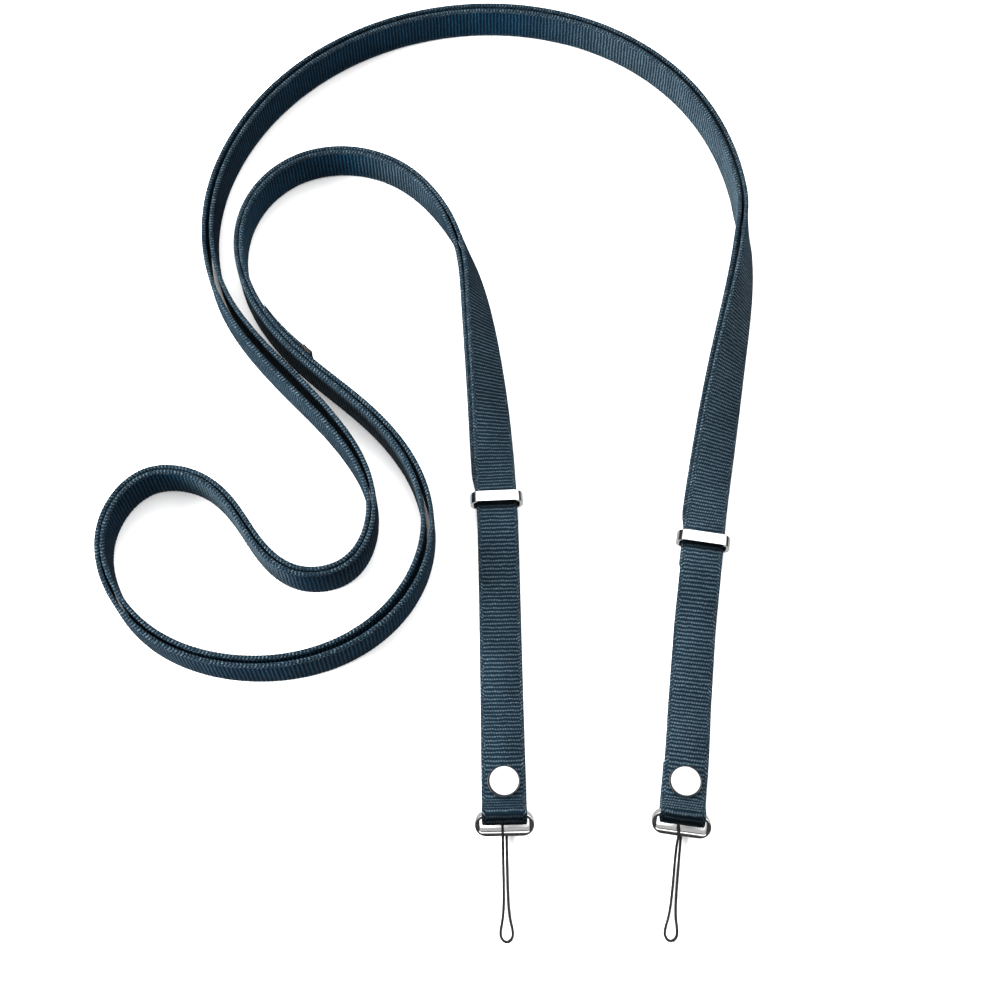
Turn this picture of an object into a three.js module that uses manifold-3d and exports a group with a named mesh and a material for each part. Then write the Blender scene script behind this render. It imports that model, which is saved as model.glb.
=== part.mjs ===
// Crossbody strap for a phone: two plies of ribbed ribbon, face to face, laid on a table in three loops.
// Each end has an adjusting slider, a ring in a fold of ribbon, a press snap and a thin cord tether.
// Millimetres, +Z up, the table is Z = 0 and the origin is under the middle of the strap.
import * as THREE from 'three';
import Module from 'manifold-3d';
import { mergeVertices } from 'three/addons/utils/BufferGeometryUtils.js';

// Ribbon
const RIBBON_WIDTH = 15;
const RIBBON_THICKNESS = 1.7;
const EDGE_SLIP = 1.2; // how far the rear ply peeks out past the front ply above a slider

// Lay of the strap on the table, from ring to top and from side to side
const LAY_WIDTH = 242;
const LAY_LENGTH = 360;

// Sliders and rings are the same flat metal loop
const LOOP_WIDTH = 19.6;
const LOOP_BAND = 4.2; // length along the strap
const LOOP_WALL = 1.6;
const LOOP_EDGE_ROUND = 0.45;
const OPENING_CORNER = 0.8;
const RING_TILT = THREE.MathUtils.degToRad(34);

// Places along the strap, from its rings
const RIGHT_SLIDER_FROM_RING = 104;
const LEFT_SLIDER_FROM_RING = 120;
const SNAP_FROM_RING = 13.5;
const TAIL_PAST_SNAP = 7.3;

// Rear ply's fold round a slider's rear bar
const FOLD_BELOW_SLIDER = 7;
const FOLD_TAIL_LENGTH = 12;

// Snap
const CAP_DIAMETER = 11;
const CAP_RISE = 2.1;
const CAP_RIM = 0.6;
const SHANK_DIAMETER = 3.2;
const BACK_DIAMETER = 9;
const BACK_THICKNESS = 1;
const DRUM_DIAMETER = 7;
const DRUM_HEIGHT = 1.6;

// Seam of the right-hand ply
const SEAM_AT = 0.728; // share of the strap's whole run
const SEAM_LAP_LENGTH = 25;
const SEAM_TACK_LENGTH = 5;
const SEAM_TACK_THICKNESS = 1.8;

// Tether cord
const CORD_DIAMETER = 0.9;
const CORD_WRAP_RADIUS = 1.8;

// Air between pieces that touch
const CLEARANCE = 0.3;

// Fineness of the curves
const RUN_STEP = 5;
const FOLD_STEP = THREE.MathUtils.degToRad(24);
const ROUND_STEPS = 24;

// The strap's middle line on the table, from the right ring to the left ring.
// across and along are shares of LAY_WIDTH and LAY_LENGTH, air is the gap between the plies as a share of
// the ribbon's thickness, and twist is the ribbon's turn from upright in degrees.
const LAY = [
  { bend: 'right ring', across: 0.841, along: 0.001, air: 0.2, twist: -90 },
  { bend: 'right lower strap', across: 0.871, along: 0.149, air: 0.2, twist: -90 },
  { bend: 'right slider', across: 0.9, along: 0.293, air: 0.2, twist: -90 },
  { bend: 'right strap starts to lean', across: 0.923, along: 0.376, air: 0.2, twist: -80 },
  { bend: 'right strap half over', across: 0.964, along: 0.515, air: 0.4, twist: -52 },
  { bend: 'right strap nearly upright', across: 1.0, along: 0.649, air: 0.7, twist: -21 },
  { bend: 'right strap upright', across: 1.002, along: 0.721, air: 0.5, twist: 0 },
  { bend: 'big loop, right shoulder', across: 0.982, along: 0.793, air: 0.7, twist: 0 },
  { bend: 'big loop, upper right', across: 0.931, along: 0.87, air: 0.8, twist: 0 },
  { bend: 'big loop, top right', across: 0.775, along: 0.967, air: 0.8, twist: 0 },
  { bend: 'big loop, top', across: 0.593, along: 1.0, air: 0.9, twist: 0 },
  { bend: 'big loop, top left', across: 0.409, along: 0.98, air: 0.9, twist: 0 },
  { bend: 'big loop, upper left', across: 0.233, along: 0.9, air: 0.9, twist: 0 },
  { bend: 'big loop, left shoulder', across: 0.134, along: 0.793, air: 0.8, twist: 0 },
  { bend: 'big loop, left side', across: 0.104, along: 0.688, air: 0.8, twist: 0 },
  { bend: 'big loop, left foot', across: 0.1377, along: 0.5804, air: 1.1, twist: 0 },
  { bend: 'slope beside the seam', across: 0.2615, along: 0.4685, air: 1.8, twist: 0 },
  { bend: 'slope to the hook', across: 0.358, along: 0.3905, air: 1.1, twist: 0 },
  { bend: 'hook, right side', across: 0.4, along: 0.31, air: 0.2, twist: 0 },
  { bend: 'hook, bottom right', across: 0.363, along: 0.252, air: 0.3, twist: 0 },
  { bend: 'hook, bottom', across: 0.297, along: 0.2442, air: 0.3, twist: 0 },
  { bend: 'hook, left side', across: 0.238, along: 0.272, air: 0.4, twist: 0 },
  { bend: 'small loop, neck', across: 0.197, along: 0.311, air: 0.4, twist: 0 },
  { bend: 'small loop, top right', across: 0.133, along: 0.35, air: 0.2, twist: 0 },
  { bend: 'small loop, top left', across: 0.056, along: 0.353, air: 0.2, twist: 0 },
  { bend: 'small loop, left shoulder', across: 0.006, along: 0.311, air: 0.2, twist: 0 },
  { bend: 'small loop, left side', across: 0.001, along: 0.274, air: 0.2, twist: 0 },
  { bend: 'small loop, lower left', across: 0.031, along: 0.221, air: 0.5, twist: 0 },
  { bend: 'small loop, bottom left', across: 0.085, along: 0.182, air: 0.6, twist: 0 },
  { bend: 'small loop, bottom', across: 0.234, along: 0.149, air: 0.7, twist: 0 },
  { bend: 'small loop, bottom right', across: 0.3696, along: 0.1692, air: 1.0, twist: 0 },
  { bend: 'small loop, lower right', across: 0.447, along: 0.215, air: 1.2, twist: 0 },
  { bend: 'small loop, right side', across: 0.485, along: 0.293, air: 0.9, twist: 0 },
  { bend: 'small loop, upper right', across: 0.464, along: 0.356, air: 0.7, twist: 0 },
  { bend: 'slope below the seam', across: 0.3889, along: 0.4276, air: 0.4, twist: 0 },
  { bend: 'seam', across: 0.272, along: 0.5, air: 0.2, twist: 0 },
  { bend: 'middle loop, left foot', across: 0.1864, along: 0.579, air: 0.2, twist: 0 },
  { bend: 'middle loop, left side', across: 0.159, along: 0.649, air: 0.2, twist: 0 },
  { bend: 'middle loop, upper left', across: 0.186, along: 0.724, air: 0.2, twist: 0 },
  { bend: 'middle loop, top left', across: 0.247, along: 0.764, air: 0.2, twist: 0 },
  { bend: 'middle loop, top', across: 0.324, along: 0.776, air: 0.2, twist: 0 },
  { bend: 'middle loop, top right', across: 0.421, along: 0.754, air: 0.2, twist: 0 },
  { bend: 'left strap upright', across: 0.474, along: 0.719, air: 0.2, twist: 2 },
  { bend: 'left strap leans', across: 0.529, along: 0.649, air: 0.5, twist: 14 },
  { bend: 'left strap half over', across: 0.558, along: 0.554, air: 0.2, twist: 43 },
  { bend: 'left strap nearly flat', across: 0.575, along: 0.454, air: 0.2, twist: 66 },
  { bend: 'left slider', across: 0.587, along: 0.343, air: 0.2, twist: 90 },
  { bend: 'left lower strap', across: 0.594, along: 0.176, air: 0.2, twist: 90 },
  { bend: 'left ring', across: 0.599, along: 0.001, air: 0.2, twist: 90 },
];

// A tether's route from its ring: to the side, up the strap and up from the table, in millimetres.
// It starts under the ring's near bar, goes round the bar, out to the far end and back beside its start.
const TETHER_ROUTE = [
  [-0.65, -1.55, 0.5],
  [-0.65, -0.28, 1.03],
  [-0.65, 0.25, 2.3],
  [-0.65, -0.06, 3.31],
  [-0.65, -1.84, 5.97],
  [-0.65, -2.99, 6.73],
  [-0.65, -4.34, 6.45],
  [-0.65, -5.16, 5.3],
  [-0.65, -5.94, 3.7],
  [-0.65, -7.3, 2.1],
  [-0.65, -9.6, 1.1],
  [-0.65, -12.6, 0.6],
  [-0.65, -16, 0.5],
  [-0.7, -22, 0.5],
  [-0.9, -27, 0.5],
  [-1.4, -31, 0.5],
  [-1.95, -34, 0.5],
  [-1.6, -36.2, 0.5],
  [0, -37.3, 0.5],
  [1.6, -36.2, 0.5],
  [1.95, -34, 0.5],
  [1.4, -31, 0.5],
  [0.9, -27, 0.5],
  [0.7, -22, 0.5],
  [0.65, -14, 0.5],
  [0.65, -6, 0.5],
  [0.65, -1.1, 0.5],
];

// Sizes that follow from those above
const HALF_PLY = RIBBON_THICKNESS / 2;
const OPENING_HEIGHT = 2 * RIBBON_THICKNESS + 3 * CLEARANCE;
const LOOP_HEIGHT = OPENING_HEIGHT + 2 * LOOP_WALL;
const BAR_OFFSET = (OPENING_HEIGHT + LOOP_WALL) / 2;
const WRAP_RADIUS = CLEARANCE + HALF_PLY;

// Heights in a slider: the fold's tail, the rear bar on it, the rear ply and the front ply
const SLIDER_BOTTOM = RIBBON_THICKNESS + CLEARANCE;
const REAR_PLY_IN_SLIDER = SLIDER_BOTTOM + LOOP_WALL + CLEARANCE + HALF_PLY;
const FRONT_PLY_IN_SLIDER = REAR_PLY_IN_SLIDER + RIBBON_THICKNESS + CLEARANCE;
const PAIR_ON_TABLE = RIBBON_THICKNESS + CLEARANCE / 2;
const SLIDER_LIFT = (REAR_PLY_IN_SLIDER + FRONT_PLY_IN_SLIDER) / 2 - PAIR_ON_TABLE;
const TAIL_LIFT = RIBBON_THICKNESS + CLEARANCE;

// Heights at a snap: its back, the front ply's tail, the drum between the plies and the front ply
const TAIL_AT_SNAP = BACK_THICKNESS + CLEARANCE + HALF_PLY;
const DRUM_BOTTOM = TAIL_AT_SNAP + HALF_PLY + CLEARANCE;
const FRONT_PLY_AT_SNAP = DRUM_BOTTOM + DRUM_HEIGHT + CLEARANCE + HALF_PLY;
const CAP_BOTTOM = FRONT_PLY_AT_SNAP + HALF_PLY + CLEARANCE;

// A ring's middle is as high as the cord under its near bar needs
const CORD_ON_TABLE = CORD_DIAMETER / 2 + 0.05;
const CORD_ARC_FROM_BAR = LOOP_BAND / 2 - 0.5;
const RING_HEIGHT = CORD_ON_TABLE + CORD_WRAP_RADIUS + CORD_ARC_FROM_BAR * Math.cos(RING_TILT)
  + BAR_OFFSET * Math.sin(RING_TILT);

// Numbers between the knots of a table, bent like a springy strip (a natural cubic spline)
function springy(knots, values) {
  const last = knots.length - 1;
  const bend = new Array(knots.length).fill(0);
  const carried = new Array(knots.length).fill(0);
  for (let i = 1; i < last; i++) {
    const before = knots[i] - knots[i - 1];
    const after = knots[i + 1] - knots[i];
    const slopeChange = (values[i + 1] - values[i]) / after - (values[i] - values[i - 1]) / before;
    const pivot = 2 * (before + after) - before * carried[i - 1];
    carried[i] = after / pivot;
    bend[i] = (6 * slopeChange - before * bend[i - 1]) / pivot;
  }
  for (let i = last - 1; i > 0; i--) bend[i] -= carried[i] * bend[i + 1];
  return (at) => {
    const i = spanOf(knots, at);
    const length = knots[i + 1] - knots[i];
    const b = (at - knots[i]) / length;
    const a = 1 - b;
    const bulge = ((a ** 3 - a) * bend[i] + (b ** 3 - b) * bend[i + 1]) * length * length / 6;
    return a * values[i] + b * values[i + 1] + bulge;
  };
}

// Numbers between the knots of a table that never swing past its rows (a monotone cubic)
function steady(knots, values) {
  const rise = (i) => (values[i + 1] - values[i]) / (knots[i + 1] - knots[i]);
  const slope = knots.map((knot, i) => {
    if (i === 0 || i === knots.length - 1 || rise(i - 1) * rise(i) <= 0) return 0;
    return 2 / (1 / rise(i - 1) + 1 / rise(i));
  });
  return (at) => {
    const i = spanOf(knots, at);
    const length = knots[i + 1] - knots[i];
    const t = THREE.MathUtils.clamp((at - knots[i]) / length, 0, 1);
    const ease = t * t * (3 - 2 * t);
    const leaving = t * (1 - t) * (1 - t) * length * slope[i];
    const arriving = t * t * (t - 1) * length * slope[i + 1];
    return values[i] + (values[i + 1] - values[i]) * ease + leaving + arriving;
  };
}

function spanOf(knots, at) {
  let i = 0;
  while (i < knots.length - 2 && at > knots[i + 1]) i++;
  return i;
}

// The strap's route, by its run from the right ring in millimetres
const places = LAY.map((row) => new THREE.Vector2(row.across * LAY_WIDTH, row.along * LAY_LENGTH));
const runs = [0];
for (let i = 1; i < places.length; i++) runs.push(runs[i - 1] + places[i].distanceTo(places[i - 1]));
const RUN_END = runs[runs.length - 1];
const routeX = springy(runs, places.map((place) => place.x));
const routeY = springy(runs, places.map((place) => place.y));
const routeAir = steady(runs, LAY.map((row) => row.air * RIBBON_THICKNESS));
const routeTwist = steady(runs, LAY.map((row) => THREE.MathUtils.degToRad(row.twist)));

const RIGHT_SLIDER_RUN = RIGHT_SLIDER_FROM_RING;
const LEFT_SLIDER_RUN = RUN_END - LEFT_SLIDER_FROM_RING;

// Place and heading on the route, which runs on straight past both rings
function routeAt(run) {
  const inside = THREE.MathUtils.clamp(run, 0, RUN_END);
  const near = THREE.MathUtils.clamp(inside, 0.5, RUN_END - 0.5);
  const heading = new THREE.Vector3(
    routeX(near + 0.5) - routeX(near - 0.5), routeY(near + 0.5) - routeY(near - 0.5), 0).normalize();
  const place = new THREE.Vector3(routeX(inside), routeY(inside), 0);
  return { place: place.addScaledVector(heading, run - inside), heading };
}

// Above each slider the pair of plies comes down over the fold's tail to the table
const liftBeyondSlider = steady(
  [LOOP_BAND / 2 + CLEARANCE, FOLD_TAIL_LENGTH, FOLD_TAIL_LENGTH + 20],
  [SLIDER_LIFT, TAIL_LIFT, 0]);
const slipBeyondSlider = steady([LOOP_BAND / 2, FOLD_TAIL_LENGTH], [0, EDGE_SLIP]);

// A ply of the pair between the sliders: side is 1 for the ply to the right of the run, -1 for the other
function pairStation(run, side) {
  const { place, heading } = routeAt(run);
  const twist = routeTwist(run);
  const air = routeAir(run);
  const right = new THREE.Vector3(heading.y, -heading.x, 0);
  const up = new THREE.Vector3(0, 0, 1);
  const across = up.clone().multiplyScalar(Math.cos(twist)).addScaledVector(right, Math.sin(twist));
  const facing = right.clone().multiplyScalar(Math.cos(twist)).addScaledVector(up, -Math.sin(twist));
  const fromSlider = Math.min(run - RIGHT_SLIDER_RUN, LEFT_SLIDER_RUN - run);
  const rise = RIBBON_WIDTH / 2 * Math.cos(twist) + (RIBBON_THICKNESS + air / 2) * Math.abs(Math.sin(twist));
  place.z = rise + liftBeyondSlider(fromSlider);
  place.addScaledVector(facing, side * (RIBBON_THICKNESS + air) / 2);
  const isRear = side * facing.z < 0;
  if (isRear) place.addScaledVector(across, slipBeyondSlider(fromSlider) * Math.sin(twist) ** 2);
  return { place, across };
}

// A ply lying flat near one end: distance is up the strap from that end's ring
function flatStation(end, distance, height) {
  const { place, heading } = routeAt(end === 'right' ? distance : RUN_END - distance);
  const across = new THREE.Vector3(-heading.y, heading.x, 0);
  if (end === 'left') across.negate();
  place.z = height;
  return { place, across };
}

function easedHeights(fromDistance, fromHeight, toDistance, toHeight, steps) {
  return Array.from({ length: steps + 1 }, (_, i) => {
    const t = i / steps;
    return [
      THREE.MathUtils.lerp(fromDistance, toDistance, t),
      THREE.MathUtils.lerp(fromHeight, toHeight, t * t * (3 - 2 * t)),
    ];
  });
}

function arc([centreDistance, centreHeight], radius, fromAngle, toAngle) {
  const steps = Math.max(2, Math.ceil(Math.abs(toAngle - fromAngle) / FOLD_STEP));
  return Array.from({ length: steps + 1 }, (_, i) => {
    const angle = THREE.MathUtils.lerp(fromAngle, toAngle, i / steps);
    return [centreDistance + radius * Math.cos(angle), centreHeight + radius * Math.sin(angle)];
  });
}

// A bend from a level stretch to a slope, as a quadratic curve between two points
function slopeBend([x0, z0], [x1, z1], slope) {
  const corner = x1 + Math.abs(z1 - z0) / Math.tan(slope);
  const steps = 6;
  return Array.from({ length: steps }, (_, i) => {
    const t = i / steps;
    const x = (1 - t) ** 2 * x0 + 2 * t * (1 - t) * corner + t * t * x1;
    const z = (1 - t) ** 2 * z0 + 2 * t * (1 - t) * z0 + t * t * z1;
    return [x, z];
  });
}

// The front ply's end as distance and height: tail, snap, round the ring's far bar, snap again and slider
function frontEnd(sliderFromRing) {
  const band = new THREE.Vector2(-Math.sin(RING_TILT), Math.cos(RING_TILT));
  const depth = new THREE.Vector2(Math.cos(RING_TILT), Math.sin(RING_TILT));
  const bar = new THREE.Vector2(0, RING_HEIGHT).addScaledVector(depth, BAR_OFFSET);
  const corner = (alongBand, alongDepth) => bar.clone()
    .addScaledVector(band, alongBand * LOOP_BAND / 2)
    .addScaledVector(depth, alongDepth * LOOP_WALL / 2).toArray();
  const tailSlope = THREE.MathUtils.degToRad(25);
  const frontSlope = THREE.MathUtils.degToRad(45);
  const innerFace = RING_TILT + Math.PI;
  const overRim = RING_TILT + Math.PI / 2;
  const underBar = arc(corner(-1, -1), WRAP_RADIUS, 1.5 * Math.PI - tailSlope, innerFace);
  const upInside = arc(corner(1, -1), WRAP_RADIUS, innerFace, overRim);
  const overTop = arc(corner(1, 1), WRAP_RADIUS, overRim, Math.PI / 2 - frontSlope);
  const snapEdge = SNAP_FROM_RING - CAP_DIAMETER / 2;
  const pastSnap = SNAP_FROM_RING + CAP_DIAMETER / 2;
  const tailEnd = SNAP_FROM_RING + TAIL_PAST_SNAP;
  const toRing = slopeBend([snapEdge, TAIL_AT_SNAP], underBar[0], tailSlope);
  const fromRing = slopeBend([snapEdge, FRONT_PLY_AT_SNAP], overTop[overTop.length - 1], frontSlope);
  const leaveSnap = easedHeights(pastSnap, FRONT_PLY_AT_SNAP, pastSnap + 28, HALF_PLY, 10);
  const foldEnd = sliderFromRing - FOLD_BELOW_SLIDER - LOOP_HEIGHT / 2;
  const reachSlider = easedHeights(foldEnd - 26, HALF_PLY, foldEnd, FRONT_PLY_IN_SLIDER, 10);
  return [
    [tailEnd, TAIL_AT_SNAP],
    [SNAP_FROM_RING, TAIL_AT_SNAP],
    ...toRing,
    ...underBar,
    ...upInside,
    ...overTop,
    ...fromRing.reverse(),
    [SNAP_FROM_RING, FRONT_PLY_AT_SNAP],
    ...leaveSnap,
    ...reachSlider,
    [sliderFromRing, FRONT_PLY_IN_SLIDER],
  ];
}

// The rear ply's end: down through the slider, a loose fold below it and the tail back under the rear bar
function rearEnd(sliderFromRing) {
  const radius = (REAR_PLY_IN_SLIDER - HALF_PLY) / 2;
  const foldCentre = [sliderFromRing - FOLD_BELOW_SLIDER, HALF_PLY + radius];
  return [
    [sliderFromRing, REAR_PLY_IN_SLIDER],
    ...arc(foldCentre, radius, Math.PI / 2, 1.5 * Math.PI),
    [sliderFromRing + FOLD_TAIL_LENGTH / 2, HALF_PLY],
    [sliderFromRing + FOLD_TAIL_LENGTH, HALF_PLY],
  ];
}

// The pair's stations from slider to slider
function pairStations(side) {
  const start = RIGHT_SLIDER_RUN + LOOP_BAND / 2 + CLEARANCE;
  const stop = LEFT_SLIDER_RUN - LOOP_BAND / 2 - CLEARANCE;
  const steps = Math.ceil((stop - start) / RUN_STEP);
  return Array.from({ length: steps + 1 }, (_, i) => pairStation(start + (stop - start) * i / steps, side));
}

// A strip of ribbon through stations, each with its place and the direction across the ribbon
function ribbon(stations, width, thickness) {
  const positions = [];
  const triangles = [];
  const corners = [[-1, -1], [1, -1], [1, 1], [-1, 1]];
  stations.forEach(({ place, across }, i) => {
    const before = stations[Math.max(i - 1, 0)].place;
    const after = stations[Math.min(i + 1, stations.length - 1)].place;
    const ahead = after.clone().sub(before).normalize();
    const facing = ahead.cross(across).normalize();
    for (const [sideways, outwards] of corners) {
      const corner = place.clone()
        .addScaledVector(across, sideways * width / 2)
        .addScaledVector(facing, outwards * thickness / 2);
      positions.push(...corner.toArray());
    }
  });
  const last = 4 * (stations.length - 1);
  for (let row = 0; row < last; row += 4) {
    for (let side = 0; side < 4; side++) {
      const a = row + side;
      const b = row + (side + 1) % 4;
      triangles.push(a, b, b + 4, a, b + 4, a + 4);
    }
  }
  triangles.push(0, 2, 1, 0, 3, 2);
  triangles.push(last, last + 1, last + 2, last, last + 2, last + 3);
  const geometry = new THREE.BufferGeometry();
  geometry.setAttribute('position', new THREE.Float32BufferAttribute(positions, 3));
  geometry.setIndex(triangles);
  return geometry;
}

// One whole ply: it is the front ply at one end and the rear ply at the other
function ply(side) {
  const frontSide = side === 1 ? 'right' : 'left';
  const rearSide = side === 1 ? 'left' : 'right';
  const fromRing = { right: RIGHT_SLIDER_FROM_RING, left: LEFT_SLIDER_FROM_RING };
  const front = frontEnd(fromRing[frontSide]).map(([x, z]) => flatStation(frontSide, x, z));
  const rear = rearEnd(fromRing[rearSide]).map(([x, z]) => flatStation(rearSide, x, z));
  const middle = pairStations(side);
  return side === 1 ? [...front, ...middle, ...rear] : [...rear.reverse(), ...middle, ...front.reverse()];
}

// A frame on the table at one end of the strap: its Y axis points up the strap, away from the ring
function endFrame(end, distance) {
  const { place, heading } = routeAt(end === 'right' ? distance : RUN_END - distance);
  const upStrap = end === 'right' ? heading : heading.clone().negate();
  const frame = new THREE.Group();
  frame.position.copy(place);
  frame.rotation.z = Math.atan2(-upStrap.x, upStrap.y);
  return frame;
}

// Rounded rectangle about the origin, anticlockwise
function roundedOutline(width, height, radius) {
  const quarter = Math.PI / 2;
  const steps = 6;
  const points = [];
  [[1, 1], [-1, 1], [-1, -1], [1, -1]].forEach(([right, top], corner) => {
    const x = right * (width / 2 - radius);
    const y = top * (height / 2 - radius);
    for (let i = 0; i <= steps; i++) {
      const angle = (corner + i / steps) * quarter;
      points.push(new THREE.Vector2(x + radius * Math.cos(angle), y + radius * Math.sin(angle)));
    }
  });
  return points.filter((point, i) => point.distanceTo(points[(i + 1) % points.length]) > 0.01);
}

// The flat metal loop, its band centred on the origin and its opening along Z
function metalLoop() {
  const outline = new THREE.Shape(roundedOutline(LOOP_WIDTH, LOOP_HEIGHT, LOOP_HEIGHT / 2));
  const openingWidth = LOOP_WIDTH - 2 * LOOP_WALL;
  outline.holes.push(new THREE.Path(roundedOutline(openingWidth, OPENING_HEIGHT, OPENING_CORNER)));
  const geometry = new THREE.ExtrudeGeometry(outline, {
    depth: LOOP_BAND - 2 * LOOP_EDGE_ROUND,
    steps: 1,
    bevelThickness: LOOP_EDGE_ROUND,
    bevelSize: LOOP_EDGE_ROUND,
    bevelOffset: -LOOP_EDGE_ROUND,
    bevelSegments: 2,
  });
  return geometry.translate(0, 0, LOOP_EDGE_ROUND - LOOP_BAND / 2);
}

function lathed(profile) {
  const points = profile.map(([radius, height]) => new THREE.Vector2(radius, height));
  return new THREE.LatheGeometry(points, ROUND_STEPS).rotateX(Math.PI / 2);
}

// Domed cap with its shank, from the shank's foot
function snapCap() {
  const rim = CAP_DIAMETER / 2;
  const shank = SHANK_DIAMETER / 2;
  const foot = DRUM_BOTTOM + DRUM_HEIGHT + CLEARANCE;
  const dome = [];
  for (let i = 0; i <= 5; i++) {
    const angle = i / 5 * Math.PI / 2;
    dome.push([rim * Math.cos(angle), CAP_BOTTOM + CAP_RIM + (CAP_RISE - CAP_RIM) * Math.sin(angle)]);
  }
  dome[dome.length - 1][0] = 0;
  return lathed([[0, foot], [shank, foot], [shank, CAP_BOTTOM], [rim, CAP_BOTTOM], ...dome]);
}

// Flat back with its neck through the tail and the drum that the cap presses into
function snapBack() {
  const flange = BACK_DIAMETER / 2;
  const neck = SHANK_DIAMETER / 2;
  const drum = DRUM_DIAMETER / 2;
  const top = DRUM_BOTTOM + DRUM_HEIGHT;
  return lathed([
    [0, 0], [flange, 0], [flange, BACK_THICKNESS], [neck, BACK_THICKNESS],
    [neck, DRUM_BOTTOM], [drum, DRUM_BOTTOM], [drum, top], [0, top],
  ]);
}

// Cutter for the snap's hole through the front ply and its tail
function snapHole() {
  const radius = SHANK_DIAMETER / 2 + CLEARANCE;
  const height = CAP_BOTTOM + CAP_RISE;
  return new THREE.CylinderGeometry(radius, radius, height, ROUND_STEPS).rotateX(Math.PI / 2)
    .translate(0, 0, height / 2);
}

function tetherCord() {
  const points = TETHER_ROUTE.map(([side, up, height]) => new THREE.Vector3(side, up, height));
  const section = new THREE.Shape();
  const sides = 8;
  for (let i = 0; i <= sides; i++) {
    const angle = i / sides * 2 * Math.PI;
    const x = CORD_DIAMETER / 2 * Math.cos(angle);
    const y = CORD_DIAMETER / 2 * Math.sin(angle);
    if (i === 0) section.moveTo(x, y);
    else if (i < sides) section.lineTo(x, y);
    else section.closePath();
  }
  const path = new THREE.CatmullRomCurve3(points, false, 'centripetal');
  return new THREE.ExtrudeGeometry(section, { steps: 60, extrudePath: path });
}

const wasm = await Module();
wasm.setup();

function toSolid(geometry) {
  const bare = geometry.clone();
  bare.deleteAttribute('normal');
  bare.deleteAttribute('uv');
  const merged = mergeVertices(bare, 1e-4);
  return new wasm.Manifold(new wasm.Mesh({
    numProp: 3,
    vertProperties: new Float32Array(merged.attributes.position.array),
    triVerts: new Uint32Array(merged.index.array),
  }));
}

function fromSolid(solid) {
  const mesh = solid.getMesh();
  const geometry = new THREE.BufferGeometry();
  geometry.setAttribute('position', new THREE.BufferAttribute(mesh.vertProperties, 3));
  geometry.setIndex(new THREE.BufferAttribute(mesh.triVerts, 1));
  return geometry;
}

// Finishes
const ribbonFinish = { color: 0x1f3848, roughness: 0.85, metalness: 0 };
const threadFinish = { color: 0x17120f, roughness: 0.9, metalness: 0 };
const nickelFinish = { color: 0xc9ccce, roughness: 0.15, metalness: 1 };
const cordFinish = { color: 0x0b0b0c, roughness: 0.6, metalness: 0 };

function named(name, geometry, finish) {
  const mesh = new THREE.Mesh(geometry, new THREE.MeshStandardMaterial(finish));
  mesh.name = name;
  return mesh;
}

// The strap, moved so that the middle of its foot is the origin
const strap = new THREE.Group();
const ends = { right: RIGHT_SLIDER_FROM_RING, left: LEFT_SLIDER_FROM_RING };
const body = new THREE.Group();

for (const [name, side, end] of [['ribbon_a', -1, 'left'], ['ribbon_b', 1, 'right']]) {
  const snapFrame = endFrame(end, SNAP_FROM_RING);
  snapFrame.updateMatrix();
  const hole = snapHole().applyMatrix4(snapFrame.matrix);
  const strip = toSolid(ribbon(ply(side), RIBBON_WIDTH, RIBBON_THICKNESS));
  body.add(named(name, fromSolid(strip.subtract(toSolid(hole))), ribbonFinish));
}

for (const [end, sliderFromRing] of Object.entries(ends)) {
  const sliderFrame = endFrame(end, sliderFromRing);
  const slider = named(`slider_${end}`, metalLoop(), nickelFinish);
  slider.rotation.x = Math.PI / 2;
  slider.position.z = SLIDER_BOTTOM + LOOP_HEIGHT / 2;
  sliderFrame.add(slider);

  const ringFrame = endFrame(end, 0);
  const ring = named(`ring_${end}`, metalLoop(), nickelFinish);
  ring.rotation.x = RING_TILT;
  ring.position.z = RING_HEIGHT;
  ringFrame.add(ring, named(`tether_${end}`, tetherCord(), cordFinish));

  const snapFrame = endFrame(end, SNAP_FROM_RING);
  snapFrame.add(named(`snap_cap_${end}`, snapCap(), nickelFinish));
  snapFrame.add(named(`snap_back_${end}`, snapBack(), nickelFinish));
  body.add(sliderFrame, ringFrame, snapFrame);
}

// The lap of the seam lies on the outer face of ribbon_b, with the sewn end of the lap at the seam
function besidePly(fromRun, toRun, outward, count) {
  return Array.from({ length: count + 1 }, (_, i) => {
    const run = THREE.MathUtils.lerp(fromRun, toRun, i / count);
    const station = pairStation(run, 1);
    const { heading } = routeAt(run);
    station.place.addScaledVector(new THREE.Vector3(heading.y, -heading.x, 0), outward);
    return station;
  });
}

const seamRun = SEAM_AT * RUN_END;
const lapOutward = RIBBON_THICKNESS + CLEARANCE;
const tackOutward = HALF_PLY + CLEARANCE + SEAM_TACK_THICKNESS / 2;
const lap = besidePly(seamRun, seamRun + SEAM_LAP_LENGTH, lapOutward, 6);
const tack = besidePly(seamRun - CLEARANCE - SEAM_TACK_LENGTH, seamRun - CLEARANCE, tackOutward, 2);
body.add(named('seam_lap', ribbon(lap, RIBBON_WIDTH, RIBBON_THICKNESS), ribbonFinish));
body.add(named('seam_tack', ribbon(tack, RIBBON_WIDTH, SEAM_TACK_THICKNESS), threadFinish));

body.updateMatrixWorld(true);
const footprint = new THREE.Box3();
body.traverse((piece) => {
  if (piece.isMesh && !piece.name.startsWith('tether')) footprint.expandByObject(piece, true);
});
body.position.set(-(footprint.min.x + footprint.max.x) / 2, -(footprint.min.y + footprint.max.y) / 2, 0);
strap.add(body);

export default strap;
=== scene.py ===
"""A doubled grosgrain phone strap with its sliders, rings, snaps and tethers, laid on a pale floor.

The pieces are modelled in millimetres, where their names say what they are, and are placed in metres
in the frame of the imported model. The strap's lay, the sizes of its fittings and the heights at which
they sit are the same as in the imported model. The loops' edges are rounder here than in that model.
"""

import math
import random
from collections import namedtuple

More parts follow.
